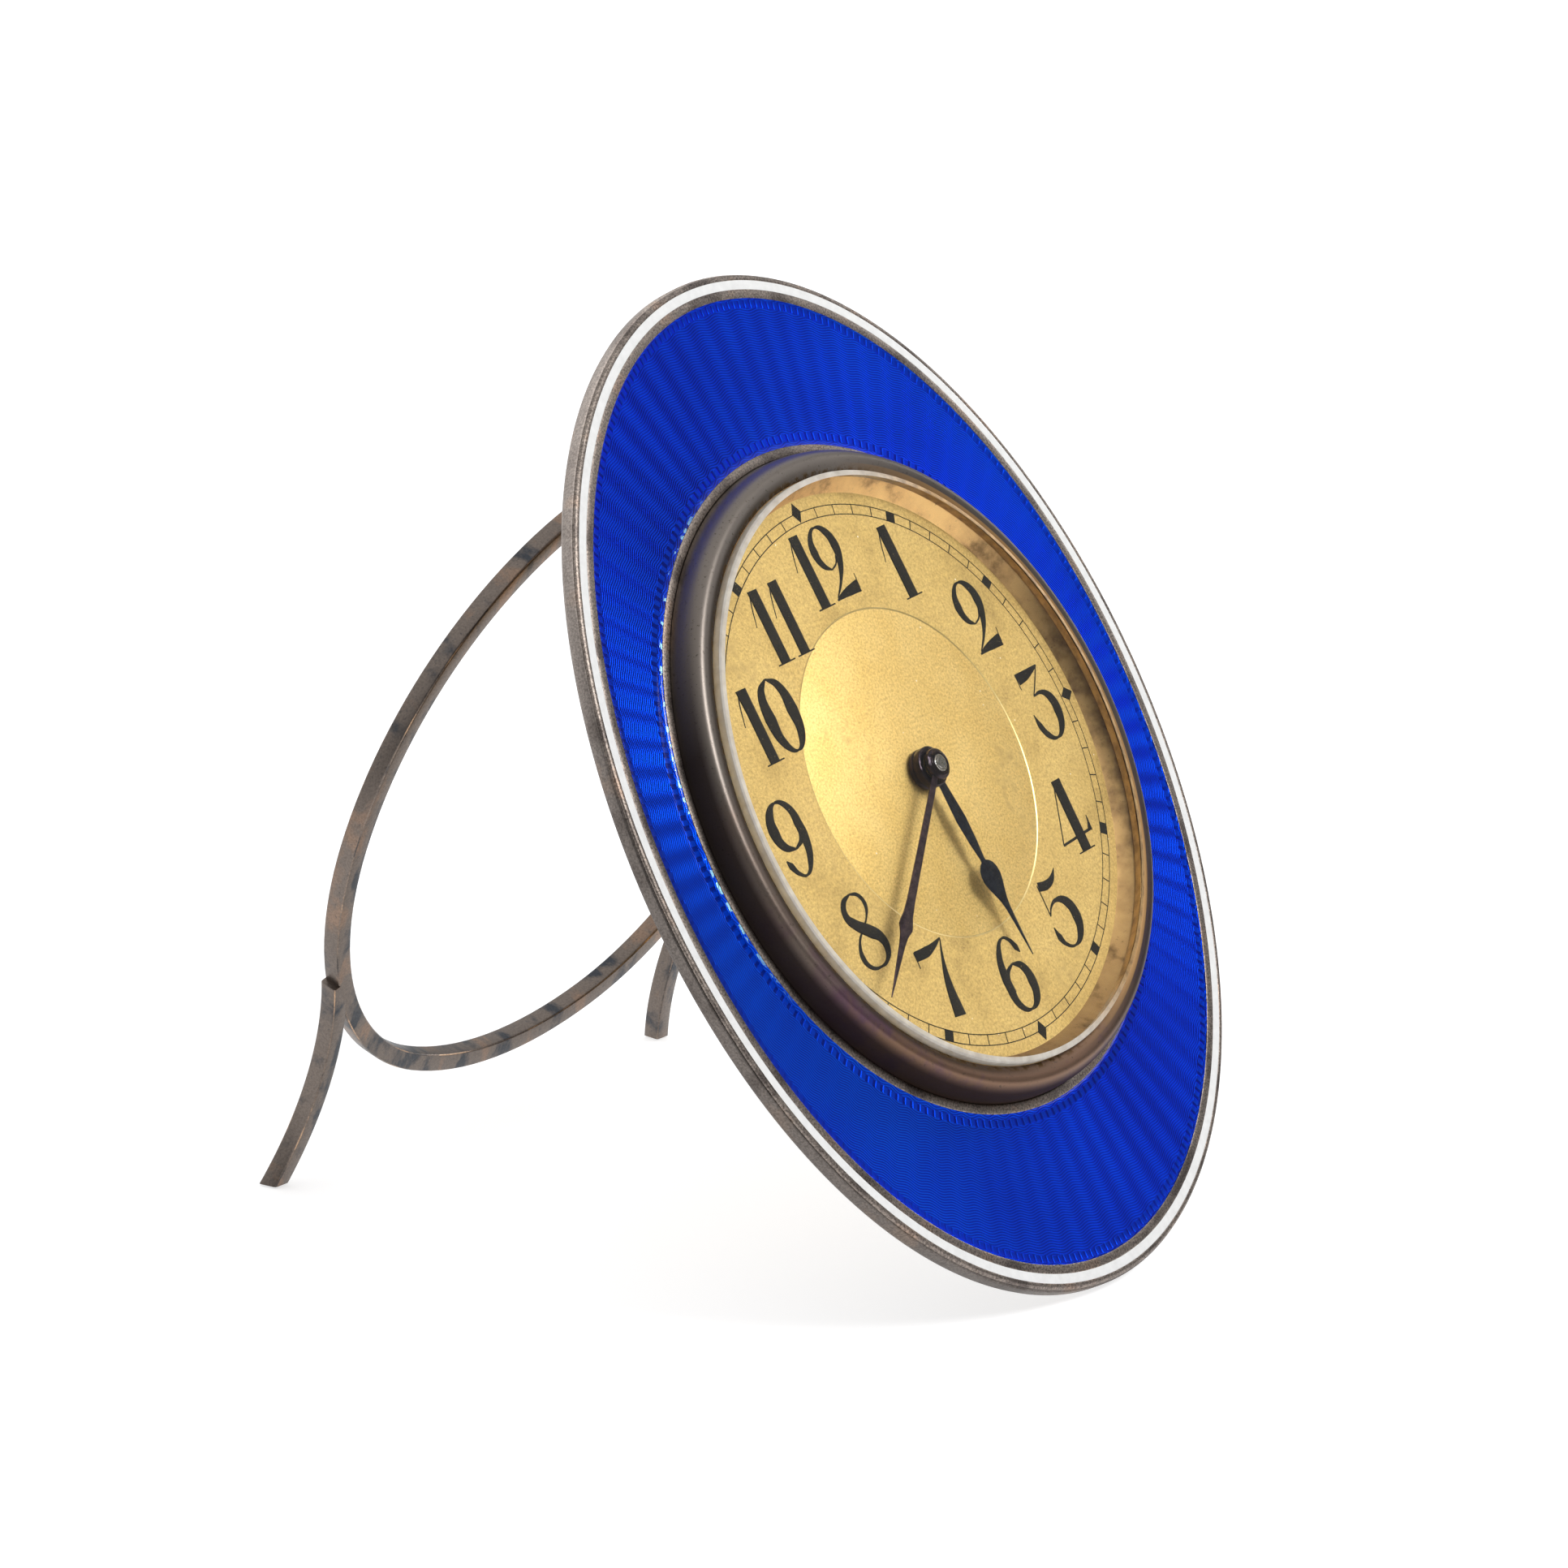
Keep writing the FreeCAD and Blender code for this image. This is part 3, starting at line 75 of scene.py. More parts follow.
def rings(name, loops, closed=True, count=256):
    # a ring drawn as one loop and pulled out, scaled and lifted from loop to loop
    fresh()
    bpy.ops.mesh.primitive_circle_add(vertices=count, radius=1)
    piece = bpy.context.object
    piece.name = name
    open_up()
    width, height, z = loops[0]
    bpy.ops.transform.resize(value=(width, height, 1))
    bpy.ops.transform.translate(value=(0, 0, z))
    for next_width, next_height, next_z in loops[1:]:
        bpy.ops.mesh.extrude_edges_move()
        bpy.ops.transform.resize(value=(next_width / width, next_height / height, 1))
        bpy.ops.transform.translate(value=(0, 0, next_z - z))
        width, height, z = next_width, next_height, next_z
    if closed:
        bpy.ops.mesh.select_all(action="SELECT")
        bpy.ops.mesh.remove_doubles(threshold=0.0001)
    else:
        bpy.ops.mesh.select_all(action="DESELECT")
        bpy.ops.mesh.select_non_manifold()
        bpy.ops.mesh.fill_holes(sides=0)
    close_up()
    return piece


def turned(name, profile, closed=True, count=256):
    return rings(name, [(radius, radius, z) for radius, z in profile], closed, count)


def eased(piece, width, angle=30, segments=2):
    only(piece)
    bevel = piece.modifiers.new("edge", "BEVEL")
    bevel.width = width
    bevel.segments = segments
    bevel.limit_method = "ANGLE"
    bevel.angle_limit = math.radians(angle)
    bpy.ops.object.modifier_apply(modifier="edge")
    bpy.ops.object.shade_smooth_by_angle(angle=math.radians(angle))


def fitted(piece, material, body, *nodes):
    # stands the drawn piece up in its place and puts it in its body
    piece.data.transform(piece.matrix_world)
    piece.matrix_world = Matrix.Identity(4)
    piece.data.transform(stance)
    piece.data.materials.clear()
    piece.data.materials.append(material)
    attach(piece, body)
    if nodes:
        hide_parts(*nodes)


def put(tree, kind, links=None, **settings):
    node = tree.nodes.new("ShaderNode" + kind)
    for key, value in settings.items():
        setattr(node, key, value)
    for key, value in (links or {}).items():
        socket = node.inputs[key]
        if isinstance(value, bpy.types.NodeSocket):
            tree.links.new(value, socket)
        elif hasattr(value, "__len__") and len(value) == 3 and socket.type == "RGBA":
            socket.default_value = (*value, 1)
        else:
            socket.default_value = value
    return node


def finish(name, **sockets):
    material = bpy.data.materials.new(name)
    material.use_nodes = True
    shader = material.node_tree.nodes["Principled BSDF"]
    for key, value in sockets.items():
        socket = shader.inputs[key.replace("_", " ")]
        socket.default_value = (*value, 1) if socket.type == "RGBA" and len(value) == 3 else value
    return material, material.node_tree, shader


def dial_space(tree):
    # millimetres in the plate's own axes: x to three o'clock, y to twelve, z out of the dial
    spot = put(tree, "TexCoord").outputs["Object"]
    return put(tree, "Mapping", {"Vector": spot, "Location": plate_middle,
                                 "Rotation": (stand_up, 0, 0), "Scale": (millimetre,) * 3},
               vector_type="TEXTURE").outputs["Vector"]


def axis_of(tree, spot, axis):
    return put(tree, "SeparateXYZ", {"Vector": spot}).outputs[axis]


def sums(tree, operation, first, second=0.0, third=0.0):
    return put(tree, "Math", {0: first, 1: second, 2: third}, operation=operation).outputs[0]


def times(tree, product, *factors):
    for factor in factors:
        product = sums(tree, "MULTIPLY", product, factor)
    return product


def graded(tree, value, low, high, bottom=0.0, top=1.0):
    # goes from bottom to top while the value goes from low to high, and no further
    return put(tree, "MapRange", {"Value": value, "From Min": low, "From Max": high,
                                  "To Min": bottom, "To Max": top}).outputs[0]


def noise(tree, spot, scale, detail=4.0, rough=0.55):
    return put(tree, "TexNoise", {"Vector": spot, "Scale": scale, "Detail": detail,
                                  "Roughness": rough}).outputs["Fac"]


def ramp(tree, factor, *stops):
    node = put(tree, "ValToRGB", {"Fac": factor})
    elements = node.color_ramp.elements
    while len(elements) < len(stops):
        elements.new(0.5)
    for element, (position, colour) in zip(elements, stops):
        element.position = position
        element.color = (*colour, 1) if len(colour) == 3 else colour
    return node.outputs["Color"]


def blend(tree, factor, first, second, kind="MIX"):
    node = put(tree, "Mix", data_type="RGBA", blend_type=kind)
    for index, value in ((0, factor), (6, first), (7, second)):
        if isinstance(value, bpy.types.NodeSocket):
            tree.links.new(value, node.inputs[index])
        else:
            node.inputs[index].default_value = value if index == 0 else (*value, 1)
    return node.outputs[2]


def feed(tree, shader, socket, value):
    tree.links.new(value, shader.inputs[socket])


def relief(tree, shader, height, distance, strength=1.0):
    bump = put(tree, "Bump", {"Height": height, "Distance": distance, "Strength": strength})
    feed(tree, shader, "Normal", bump.outputs["Normal"])


def toned_silver(name, pale, deep, warm, roughness, stretch=(1, 1, 1), painted_top_light=0, pitting=1.0,
                 step=0.1):
    # silver in three drifting tones, finely pitted; it can also be painted lighter towards twelve
    # o'clock, where the light falls
    material, tree, shader = finish(name, Metallic=1.0, Roughness=roughness)
    spot = dial_space(tree)
    stretched = put(tree, "Mapping", {"Vector": spot, "Scale": stretch}).outputs["Vector"]
    clouds = noise(tree, stretched, 0.16, 5)
    grain = noise(tree, spot, 2.2, 7, 0.72)
    tone = ramp(tree, clouds, (0.46 - step, deep), (0.48, pale), (0.56, pale), (0.57 + step, warm))
    tone = blend(tree, ramp(tree, grain, (0.3, (0.8, 0.8, 0.8)), (0.42, (0, 0, 0))), tone, deep)
    pits = ramp(tree, noise(tree, spot, 4.5, 3, 0.6), (0.34, (0.45, 0.42, 0.40)),
                (0.5, (0.95, 0.95, 0.95)), (0.66, (1.5, 1.45, 1.4)))
    tone = blend(tree, pitting, tone, pits, "MULTIPLY")
    # painted light: lighter towards twelve o'clock
    if painted_top_light:
        painted_light_ramp = graded(tree, axis_of(tree, spot, "Y"), 4.0, 46.0, 0.65, painted_top_light)
        tone = blend(tree, 1.0, tone, painted_light_ramp, "MULTIPLY")
    feed(tree, shader, "Base Color", tone)
    feed(tree, shader, "Roughness", graded(tree, grain, 0.0, 1.0, roughness - 0.04, roughness + 0.12))
    relief(tree, shader, grain, 0.00001, 0.5)
    return material


silver = toned_silver("toned_silver", (0.25, 0.215, 0.19), (0.13, 0.11, 0.10),
                      (0.30, 0.225, 0.18), 0.4)
field_half_width, field_half_height, collar_radius = 41.5, 51.0, 35.1
border = rings("front_plate_rims", [
    (43.43, 52.9, -0.1), (43.43, 52.9, 0.17), (43.5, 52.98, 0.2), (43.8, 53.25, 0.19),
    (43.97, 53.42, 0.1), (44.02, 53.5, 0.0), (44.02, 53.5, -0.15), (43.5, 52.9, -0.15),
    (43.5, 52.9, -0.6), (42.0, 51.5, -0.6), (42.0, 51.5, -0.1), (43.43, 52.9, -0.1)])
eased(border, 0.03)
line = rings("silver_line", [
    (field_half_width, field_half_height, -0.3), (field_half_width, field_half_height, 0.17),
    (41.62, 51.12, 0.2), (42.36, 51.83, 0.2), (42.47, 51.94, 0.16), (42.47, 51.94, -0.3),
    (field_half_width, field_half_height, -0.3)])
eased(line, 0.03)
collar = turned("plate_collar", [
    (34.1, -0.6), (34.1, 0.16), (34.2, 0.2), (35.0, 0.2), (collar_radius, 0.15),
    (collar_radius, -0.4), (34.1, -0.6)])
eased(collar, 0.03)
only(border)
line.select_set(True)
collar.select_set(True)
bpy.ops.object.join()
fitted(border, silver, "case", "front_plate")

# The white enamel line: opaque enamel fired into a groove of the front plate,
# ground flush with the silver and polished.
def mottled(name, scale, detail, rough, *stops, **sockets):
    # a finish whose colour drifts between two tones
    material, tree, shader = finish(name, **sockets)
    drift = noise(tree, dial_space(tree), scale, detail, rough)
    feed(tree, shader, "Base Color", ramp(tree, drift, *stops))
    return material


white = mottled("white_enamel", 1.2, 4, 0.55, (0.3, (0.80, 0.80, 0.79)), (0.7, (0.88, 0.88, 0.87)),
                Roughness=0.15)
white_line = rings("white_enamel_ring", [
    (42.44, 51.91, -0.1), (42.44, 51.91, 0.165), (42.6, 52.07, 0.17), (43.3, 52.77, 0.17),
    (43.46, 52.93, 0.165), (43.46, 52.93, -0.1), (42.44, 51.91, -0.1)])
eased(white_line, 0.03)
fitted(white_line, white, "case", "white_enamel_line")

# The blue field: translucent enamel laid over engine-turned silver and polished flat. The
# cuts below are wavy rings whose waves line up as rays, with a row of nicks at each edge.
field_mean_half = 46.0
ray_count, ring_gap = 86.0, 0.275
inner_nick_count, outer_nick_count = 216.0, 290.0


def out_from_centre(tree, spot):
    # the two ways along the face, and the distance from the dial's axis
    parts = put(tree, "SeparateXYZ", {"Vector": spot})
    flat = put(tree, "CombineXYZ", {"X": parts.outputs["X"], "Y": parts.outputs["Y"]}).outputs[0]
    reach = put(tree, "VectorMath", {0: flat}, operation="LENGTH").outputs["Value"]
    return parts.outputs["X"], parts.outputs["Y"], reach


def band(tree, value, low, high, soft=0.08):
    return times(tree, graded(tree, value, low, low + soft), graded(tree, value, high, high - soft))


def swing(tree, value, count, kind="SINE"):
    return sums(tree, kind, times(tree, value, count))


def squares(tree, wave):
    # the nicks' rounded squares, parted by narrow gaps
    return graded(tree, wave, -0.75, 0.05, -1.2, 0.7)


blue, tree, shader = finish("blue_enamel", Metallic=0.75, Roughness=0.38, Specular_IOR_Level=0.0,
                            Specular_Tint=(0.0, 0.1, 1.0), Coat_Weight=1.0, Coat_Roughness=0.015,
                            Coat_IOR=1.45)
spot = dial_space(tree)
across, along, radius = out_from_centre(tree, spot)
angle = sums(tree, "ARCTAN2", along, across)
sway = swing(tree, angle, ray_count)
cut = swing(tree, sums(tree, "MULTIPLY_ADD", sway, 0.15, radius), math.tau / ring_gap)
squeezed = put(tree, "Mapping", {
    "Vector": spot, "Scale": (1 / field_half_width, 1 / field_half_height, 1)}).outputs["Vector"]
oval_x, oval_y, oval_reach = out_from_centre(tree, squeezed)
oval_angle = sums(tree, "ARCTAN2", oval_y, oval_x)
edge_gap = times(tree, sums(tree, "SUBTRACT", 1.0, oval_reach), field_mean_half)
inner_band = band(tree, radius, 35.6, 36.45)
outer_band = band(tree, edge_gap, 0.15, 0.95)
edges = sums(tree, "ADD", inner_band, outer_band)
field = sums(tree, "SUBTRACT", 1.0, edges)

# painted light and shade: on two opposite sides the field and its rays are painted darker and the
# outer nicks bolder, fading between them
leaning = swing(tree, sums(tree, "SUBTRACT", angle, math.radians(132)), 2.0, "COSINE")
painted_light_side = sums(tree, "POWER", sums(tree, "MULTIPLY_ADD", leaning, 0.48, 0.52), 1.6)
faint = sums(tree, "MULTIPLY_ADD", painted_light_side, 0.75, 0.25)
inner_nicks = times(tree, inner_band, squares(tree, swing(tree, angle, inner_nick_count)))
outer_nicks = times(tree, outer_band, faint,
                    squares(tree, swing(tree, oval_angle, outer_nick_count)))
nicks = sums(tree, "ADD", inner_nicks, outer_nicks)
crossing = swing(tree, angle, ray_count, "COSINE")
fold = sums(tree, "POWER", sums(tree, "MULTIPLY_ADD", crossing, 0.5, 0.5), 1.3)
rays = times(tree, fold, field, painted_light_side)
# the shares of the rays and of the lit side below are painted shade
light = 0.55
for pattern, share in ((nicks, 0.22), (rays, -0.42), (painted_light_side, -0.14), (edges, -0.14),
                       (times(tree, cut, field), 0.22), (noise(tree, spot, 0.05, 2), 0.3)):
    light = sums(tree, "MULTIPLY_ADD", pattern, share, light)
tint = ramp(tree, light, (0.05, (0.0, 0.008, 0.19)), (0.45, (0.0, 0.032, 0.47)),
            (0.75, (0.0, 0.06, 0.74)), (1.0, (0.0, 0.15, 0.98)))

# painted glints: small pale spots along the collar on the left, painted in as highlights
leftward = sums(tree, "MULTIPLY_ADD", along, -0.35, across)
painted_glints = times(tree, band(tree, radius, 35.02, 35.42), graded(tree, leftward, -25.0, -31.0),
              ramp(tree, noise(tree, spot, 0.9, 2), (0.54, (0, 0, 0)), (0.57, (1, 1, 1))))
feed(tree, shader, "Base Color", blend(tree, painted_glints, tint, (0.30, 0.62, 0.85)))
carved = sums(tree, "ADD", times(tree, cut, field, faint), times(tree, nicks, 2.0))
relief(tree, shader, sums(tree, "MULTIPLY_ADD", rays, -0.6, carved), 0.000022)
enamel = rings("blue_enamel_field", [
    (collar_radius, collar_radius, -0.35), (collar_radius, collar_radius, 0.12),
    (35.25, 35.25, 0.05), (35.7, 35.7, 0.0), (37.3, 39.7, 0.0), (38.9, 43.7, 0.0),
    (40.7, 50.2, 0.0), (41.2, 50.7, 0.04), (field_half_width, field_half_height, 0.14),
    (field_half_width, field_half_height, -0.35), (collar_radius, collar_radius, -0.35)])
eased(enamel, 0.02)
fitted(enamel, blue, "case", "blue_enamel")

# The back plate: a shallow silver tray whose wall closes the edge, with its back rounded over.
# It is pressed from sheet, and toned as the front plate is.
# its tone is painted lighter towards twelve o'clock, where the light falls
tray_silver = toned_silver("tray_silver", (0.25, 0.22, 0.20), (0.18, 0.155, 0.14),
                           (0.30, 0.24, 0.20), 0.4, painted_top_light=2.0, pitting=0.55)
tray = rings("back_tray", [
    (26.1, 26.1, -1.1), (43.67, 53.0, -1.1), (43.67, 53.0, -0.16), (44.05, 53.38, -0.16),
    (44.17, 53.67, -0.3), (44.17, 53.67, -1.3), (44.0, 53.5, -1.68), (43.57, 53.07, -1.9),
    (35.0, 40.0, -1.9), (26.1, 26.1, -1.9), (26.1, 26.1, -1.1)])
eased(tray, 0.04)
fitted(tray, tray_silver, "case", "back_plate")

# The bezel: a half-round ring spun from silver and toned almost black, with a thin lip over the
# glass. It is violet and brown low down and crusted on the lip at the left. Painted shade darkens
# the foot of its outer flank away from twelve o'clock, its lip at the left and its right side, and
# a painted reflection of the gilding lies on its inner slope at the right.
dark, tree, shader = finish("dark_silver", Metallic=1.0, Roughness=0.33)
spot = dial_space(tree)
across, along, reach = out_from_centre(tree, spot)
grain = noise(tree, spot, 2.6, 7, 0.72)
heat = sums(tree, "MULTIPLY_ADD", along, -0.02, times(tree, noise(tree, spot, 0.22, 5), 0.9))
tone = ramp(tree, heat, (0.3, (0.19, 0.165, 0.145)), (0.6, (0.19, 0.145, 0.12)),
            (0.85, (0.13, 0.075, 0.10)), (1.0, (0.20, 0.12, 0.08)))
tone = blend(tree, ramp(tree, grain, (0.3, (1, 1, 1)), (0.42, (0, 0, 0))), tone, (0.06, 0.05, 0.04))
# painted shade at the foot of the outer flank, except towards twelve o'clock; there it is also
# rougher
painted_flank_shade = times(tree, graded(tree, reach, 33.0, 33.7), graded(tree, along, 26.0, 8.0))
tone = blend(tree, times(tree, painted_flank_shade, 0.85), tone, (0.03, 0.02, 0.016))
# painted shade on the lip at the left
painted_lip_shade = times(tree, graded(tree, across, 4.0, -12.0),
                 graded(tree, reach, 32.2, 31.75, 0.0, 0.75))
tone = blend(tree, painted_lip_shade, tone, (0.055, 0.04, 0.03))
# painted shade over the right side
right_side = graded(tree, across, 4.0, 18.0)
tone = blend(tree, times(tree, right_side, 0.75), tone, (0.045, 0.037, 0.035))
# painted reflection of the gilding on the inner slope at the right
painted_gilt_reflection = graded(tree, reach, 32.0, 31.9)
tone = blend(tree, times(tree, right_side, painted_gilt_reflection), tone, (0.30, 0.18, 0.08))
crust = ramp(tree, noise(tree, spot, 0.9, 6, 0.65), (0.46, (0, 0, 0)), (0.56, (1, 1, 1)))
crusted = times(tree, graded(tree, reach, 31.75, 31.4), crust, graded(tree, across, 14.0, -2.0))
feed(tree, shader, "Base Color", blend(tree, crusted, tone, (0.11, 0.068, 0.03)))
crest = graded(tree, reach, 33.2, 32.2, 0.0, 0.16)
rough = sums(tree, "ADD", crest, graded(tree, grain, 0.0, 1.0, 0.27, 0.42))
rough = sums(tree, "MULTIPLY_ADD", painted_flank_shade, 0.4, rough)
feed(tree, shader, "Roughness", sums(tree, "MULTIPLY_ADD", crusted, 0.35, rough))
relief(tree, shader, grain, 0.000008, 0.5)
crown_radius, crown_half, crown_foot, crown_rise, crown_steps = 32.5, 1.55, 0.2, 3.15, 11
wall = [(crown_radius + crown_half, crown_foot)]
for step in range(1, crown_steps + 1):
    turn = math.radians(90 * step / crown_steps)
    wall.append((crown_radius + crown_half * math.cos(turn) ** 0.92,
                 crown_foot + crown_rise * math.sin(turn)))
ring = turned("bezel_ring", [(32.3, -1.1), (crown_radius + crown_half, -1.1)] + wall + [
    (32.2, 3.34), (31.9, 3.31), (31.6, 3.25), (31.35, 3.16), (31.15, 3.05), (31.05, 2.85),
    (32.3, 2.85), (32.3, -1.1)])
eased(ring, 0.04, 35)
fitted(ring, dark, "case", "bezel")

# The glass: a thick pressed crystal, slightly domed, with an upright edge that stands above the
# bezel's lip. The edge is ground and looks frosted, and at the right its colour is a painted
# reflection of the gilding.
clear, tree, shader = finish("clock_glass", Base_Color=(0.98, 0.99, 0.98), Roughness=0.0, IOR=1.5,
                             Transmission_Weight=1.0)
shadow = put(tree, "LightPath").outputs["Is Shadow Ray"]
thin = put(tree, "BsdfTransparent", {"Color": (0.94, 0.95, 0.94)})
mixed = put(tree, "MixShader", {0: shadow, 1: shader.outputs[0], 2: thin.outputs[0]})
feed(tree, tree.nodes["Material Output"], "Surface", mixed.outputs[0])
dome_radius, glass_top, glass_under, glass_hollow = 458.3, 4.95, 3.75, 0.4
glass_radius, seat_radius = 31.0, 32.2
upper = [(reach, glass_top - dome_radius + math.sqrt(dome_radius ** 2 - reach ** 2))
         for reach in (0.02, 4, 8, 12, 16, 20, 24, 28, 30.4)]
lower = [(reach, glass_under - glass_hollow * (reach / 30.6) ** 2)
         for reach in (30.5, 28, 24, 20, 16, 12, 8, 4, 0.02)]
crystal = turned("glass_crystal", upper + [
    (30.85, 3.88), (glass_radius, 3.74), (glass_radius, 3.32), (glass_radius, 2.85),
    (seat_radius, 2.85), (seat_radius, 2.36), (30.6, 2.36)] + lower, closed=False, count=192)
only(crystal)
bpy.ops.object.shade_smooth_by_angle(angle=math.radians(25))
fitted(crystal, clear, "case", "glass")
ground, tree, shader = finish("ground_edge", IOR=1.45)
spot = dial_space(tree)
bloom = noise(tree, spot, 0.8, 4)
frosted = ramp(tree, bloom, (0.3, (0.58, 0.53, 0.46)), (0.7, (0.80, 0.76, 0.69)))
# the gilding's painted reflection, used at the right
mirrored = ramp(tree, bloom, (0.35, (0.30, 0.18, 0.08)), (0.6, (0.55, 0.34, 0.14)))
right_side = graded(tree, axis_of(tree, spot, "X"), 4.0, 16.0)
feed(tree, shader, "Base Color", blend(tree, right_side, frosted, mirrored))
feed(tree, shader, "Roughness", sums(tree, "MULTIPLY_ADD", right_side, -0.25, 0.6))
feed(tree, shader, "Transmission Weight", sums(tree, "MULTIPLY_ADD", right_side, -0.3, 0.3))
feed(tree, shader, "Metallic", times(tree, right_side, 0.4))
crystal.data.materials.append(ground)
laid_down = stance.inverted()
for polygon in crystal.data.polygons:
    middle = laid_down @ polygon.center
    # at the right the edge's lower faces also carry the painted reflection
    edge_foot = 2.86 if middle.x < 6 else 2.3
    if 30.5 < middle.xy.length < 31.1 and middle.z > edge_foot:
        polygon.material_index = 1

# The reflector ring: a spun brass cone between dial and glass. Its gilding is worn and stained,
# and browned at the right, and its colour is painted lighter towards twelve o'clock, where the light
# falls.
gilt_ring, tree, shader = finish("worn_gilding", Metallic=1.0, Roughness=0.3)
spot = dial_space(tree)
patches = noise(tree, spot, 0.3, 6, 0.6)
specks = noise(tree, spot, 1.1, 6, 0.7)
tone = ramp(tree, patches, (0.32, (0.26, 0.15, 0.06)), (0.45, (0.62, 0.37, 0.15)),
            (0.62, (0.72, 0.45, 0.18)))
tone = blend(tree, ramp(tree, specks, (0.28, (1, 1, 1)), (0.38, (0, 0, 0))), tone,
             (0.2, 0.12, 0.05))
browned = times(tree, graded(tree, axis_of(tree, spot, "X"), 20.0, 30.0),
                graded(tree, patches, 0.35, 0.6, 0.95, 0.5))
tone = blend(tree, browned, tone, (0.08, 0.05, 0.028))
# painted light: lighter towards twelve o'clock
painted_light_ramp = graded(tree, axis_of(tree, spot, "Y"), -26.0, 22.0, 0.55, 1.3)
feed(tree, shader, "Base Color", blend(tree, 1.0, tone, painted_light_ramp, "MULTIPLY"))
feed(tree, shader, "Roughness", graded(tree, specks, 0.0, 1.0, 0.22, 0.5))
cone = turned("gilt_reflector", [
    (29.3, 0.86), (seat_radius, 0.86), (seat_radius, 2.34), (30.95, 2.34), (30.7, 2.2),
    (29.5, 0.95), (29.3, 0.86)])
eased(cone, 0.03, 40)
fitted(cone, gilt_ring, "case", "reflector_ring")

# The dial: a brass disc, frosted and gilt, with a finely turned centre that catches the light.
# Its feet sit in the main plate. It stands turned a little to the left of upright.
dial_turn = math.radians(5.17)


def aged(tree, shader, spot, tone):
    # the frosting's fine grain, patches of brown spots, and pale dust
    frost = noise(tree, spot, 3.6, 4, 0.75)
    grained = ramp(tree, frost, (0.34, (0.72, 0.70, 0.66)), (0.5, (1, 1, 1)),
                   (0.68, (1.25, 1.25, 1.25)))
    tone = blend(tree, 1.0, tone, grained, "MULTIPLY")
    spots = times(tree, noise(tree, spot, 0.9, 5, 0.7), noise(tree, spot, 0.11, 2))
    tone = blend(tree, ramp(tree, spots, (0.34, (0, 0, 0)), (0.42, (0.3, 0.3, 0.3))), tone,
                 (0.30, 0.20, 0.075))
    cells = put(tree, "TexVoronoi", {"Vector": spot, "Scale": 0.55})
    dust = times(tree, sums(tree, "LESS_THAN", cells.outputs["Distance"], 0.045),
                 sums(tree, "GREATER_THAN", axis_of(tree, cells.outputs["Color"], 0), 0.62))
    feed(tree, shader, "Base Color", blend(tree, dust, tone, (0.85, 0.80, 0.68)))
    relief(tree, shader, frost, 0.00002, 0.6)


gold, tree, shader = finish("gilt_dial", Metallic=0.7, Roughness=0.6)
spot = dial_space(tree)
stains = noise(tree, spot, 0.13, 6, 0.62)
aged(tree, shader, spot, ramp(tree, stains, (0.3, (0.42, 0.285, 0.095)),
                              (0.45, (0.56, 0.39, 0.135)), (0.7, (0.61, 0.435, 0.162))))
dial_back, dial_top = 0.45, 0.89
face = turned("dial_disc", [
    (1.7, dial_back), (1.7, 0.84), (17.05, 0.84), (17.2, dial_top), (seat_radius, dial_top),
    (seat_radius, dial_back), (1.7, dial_back)])
only(face)
bpy.ops.object.shade_smooth_by_angle(angle=math.radians(10))
fitted(face, gold, "case", "dial")
bright_step = mottled("burnished_step", 0.8, 4, 0.55, (0.3, (0.56, 0.42, 0.17)),
                      (0.7, (0.68, 0.53, 0.25)), Metallic=0.9, Roughness=0.33)
face.data.materials.append(bright_step)
for polygon in face.data.polygons:
    middle = laid_down @ polygon.center
    if 17.0 < middle.xy.length < 17.3 and middle.z > 0.8:
        polygon.material_index = 1

# the turned centre's grooves run round it, so its shine follows a map of turns and distances
sheen, tree, shader = finish("turned_centre", Metallic=0.75, Roughness=0.52, Anisotropic=0.12,
                             Anisotropic_Rotation=0.25)
spot = dial_space(tree)
clouds = noise(tree, spot, 0.2, 5, 0.6)
aged(tree, shader, spot, ramp(tree, clouds, (0.3, (0.67, 0.455, 0.145)), (0.7, (0.74, 0.53, 0.20))))
tangent = put(tree, "Tangent", direction_type="UV_MAP", uv_map="turning")
feed(tree, shader, "Tangent", tangent.outputs[0])
centre = turned("dial_centre", [(1.75, 0.836), (1.75, 0.852), (16.98, 0.852), (17.02, 0.836),
                                (1.75, 0.836)])
only(centre)
turning = centre.data.uv_layers.new(name="turning")
map_reach = 40
for loop in centre.data.loops:
    corner = centre.data.vertices[loop.vertex_index].co
    turning.data[loop.index].uv = (math.atan2(corner.y, corner.x) / math.tau + 0.5,
                                   corner.xy.length / map_reach)
for polygon in centre.data.polygons:
    turns = [turning.data[index].uv.x for index in polygon.loop_indices]
    if max(turns) - min(turns) > 0.5:
        for index in polygon.loop_indices:
            if turning.data[index].uv.x < 0.5:
                turning.data[index].uv.x += 1
bpy.ops.object.shade_smooth_by_angle(angle=math.radians(30))
fitted(centre, sheen, "case")

# The printing: a minute track of two rings and sixty strokes, a square at each hour and a
# diamond at the quarters, and upright numerals with fat stems and hairlines, in black ink.
ink, tree, shader = finish("dial_ink", Roughness=0.8, Specular_IOR_Level=0.1)
worn_off = ramp(tree, noise(tree, dial_space(tree), 3.2, 6, 0.75), (0.31, (1, 1, 1)),
                (0.35, (0, 0, 0)))
feed(tree, shader, "Base Color", blend(tree, worn_off, (0.016, 0.014, 0.012), (0.42, 0.30, 0.12)))
print_height, ink_thickness = dial_top + 0.001, 0.012
prints = []


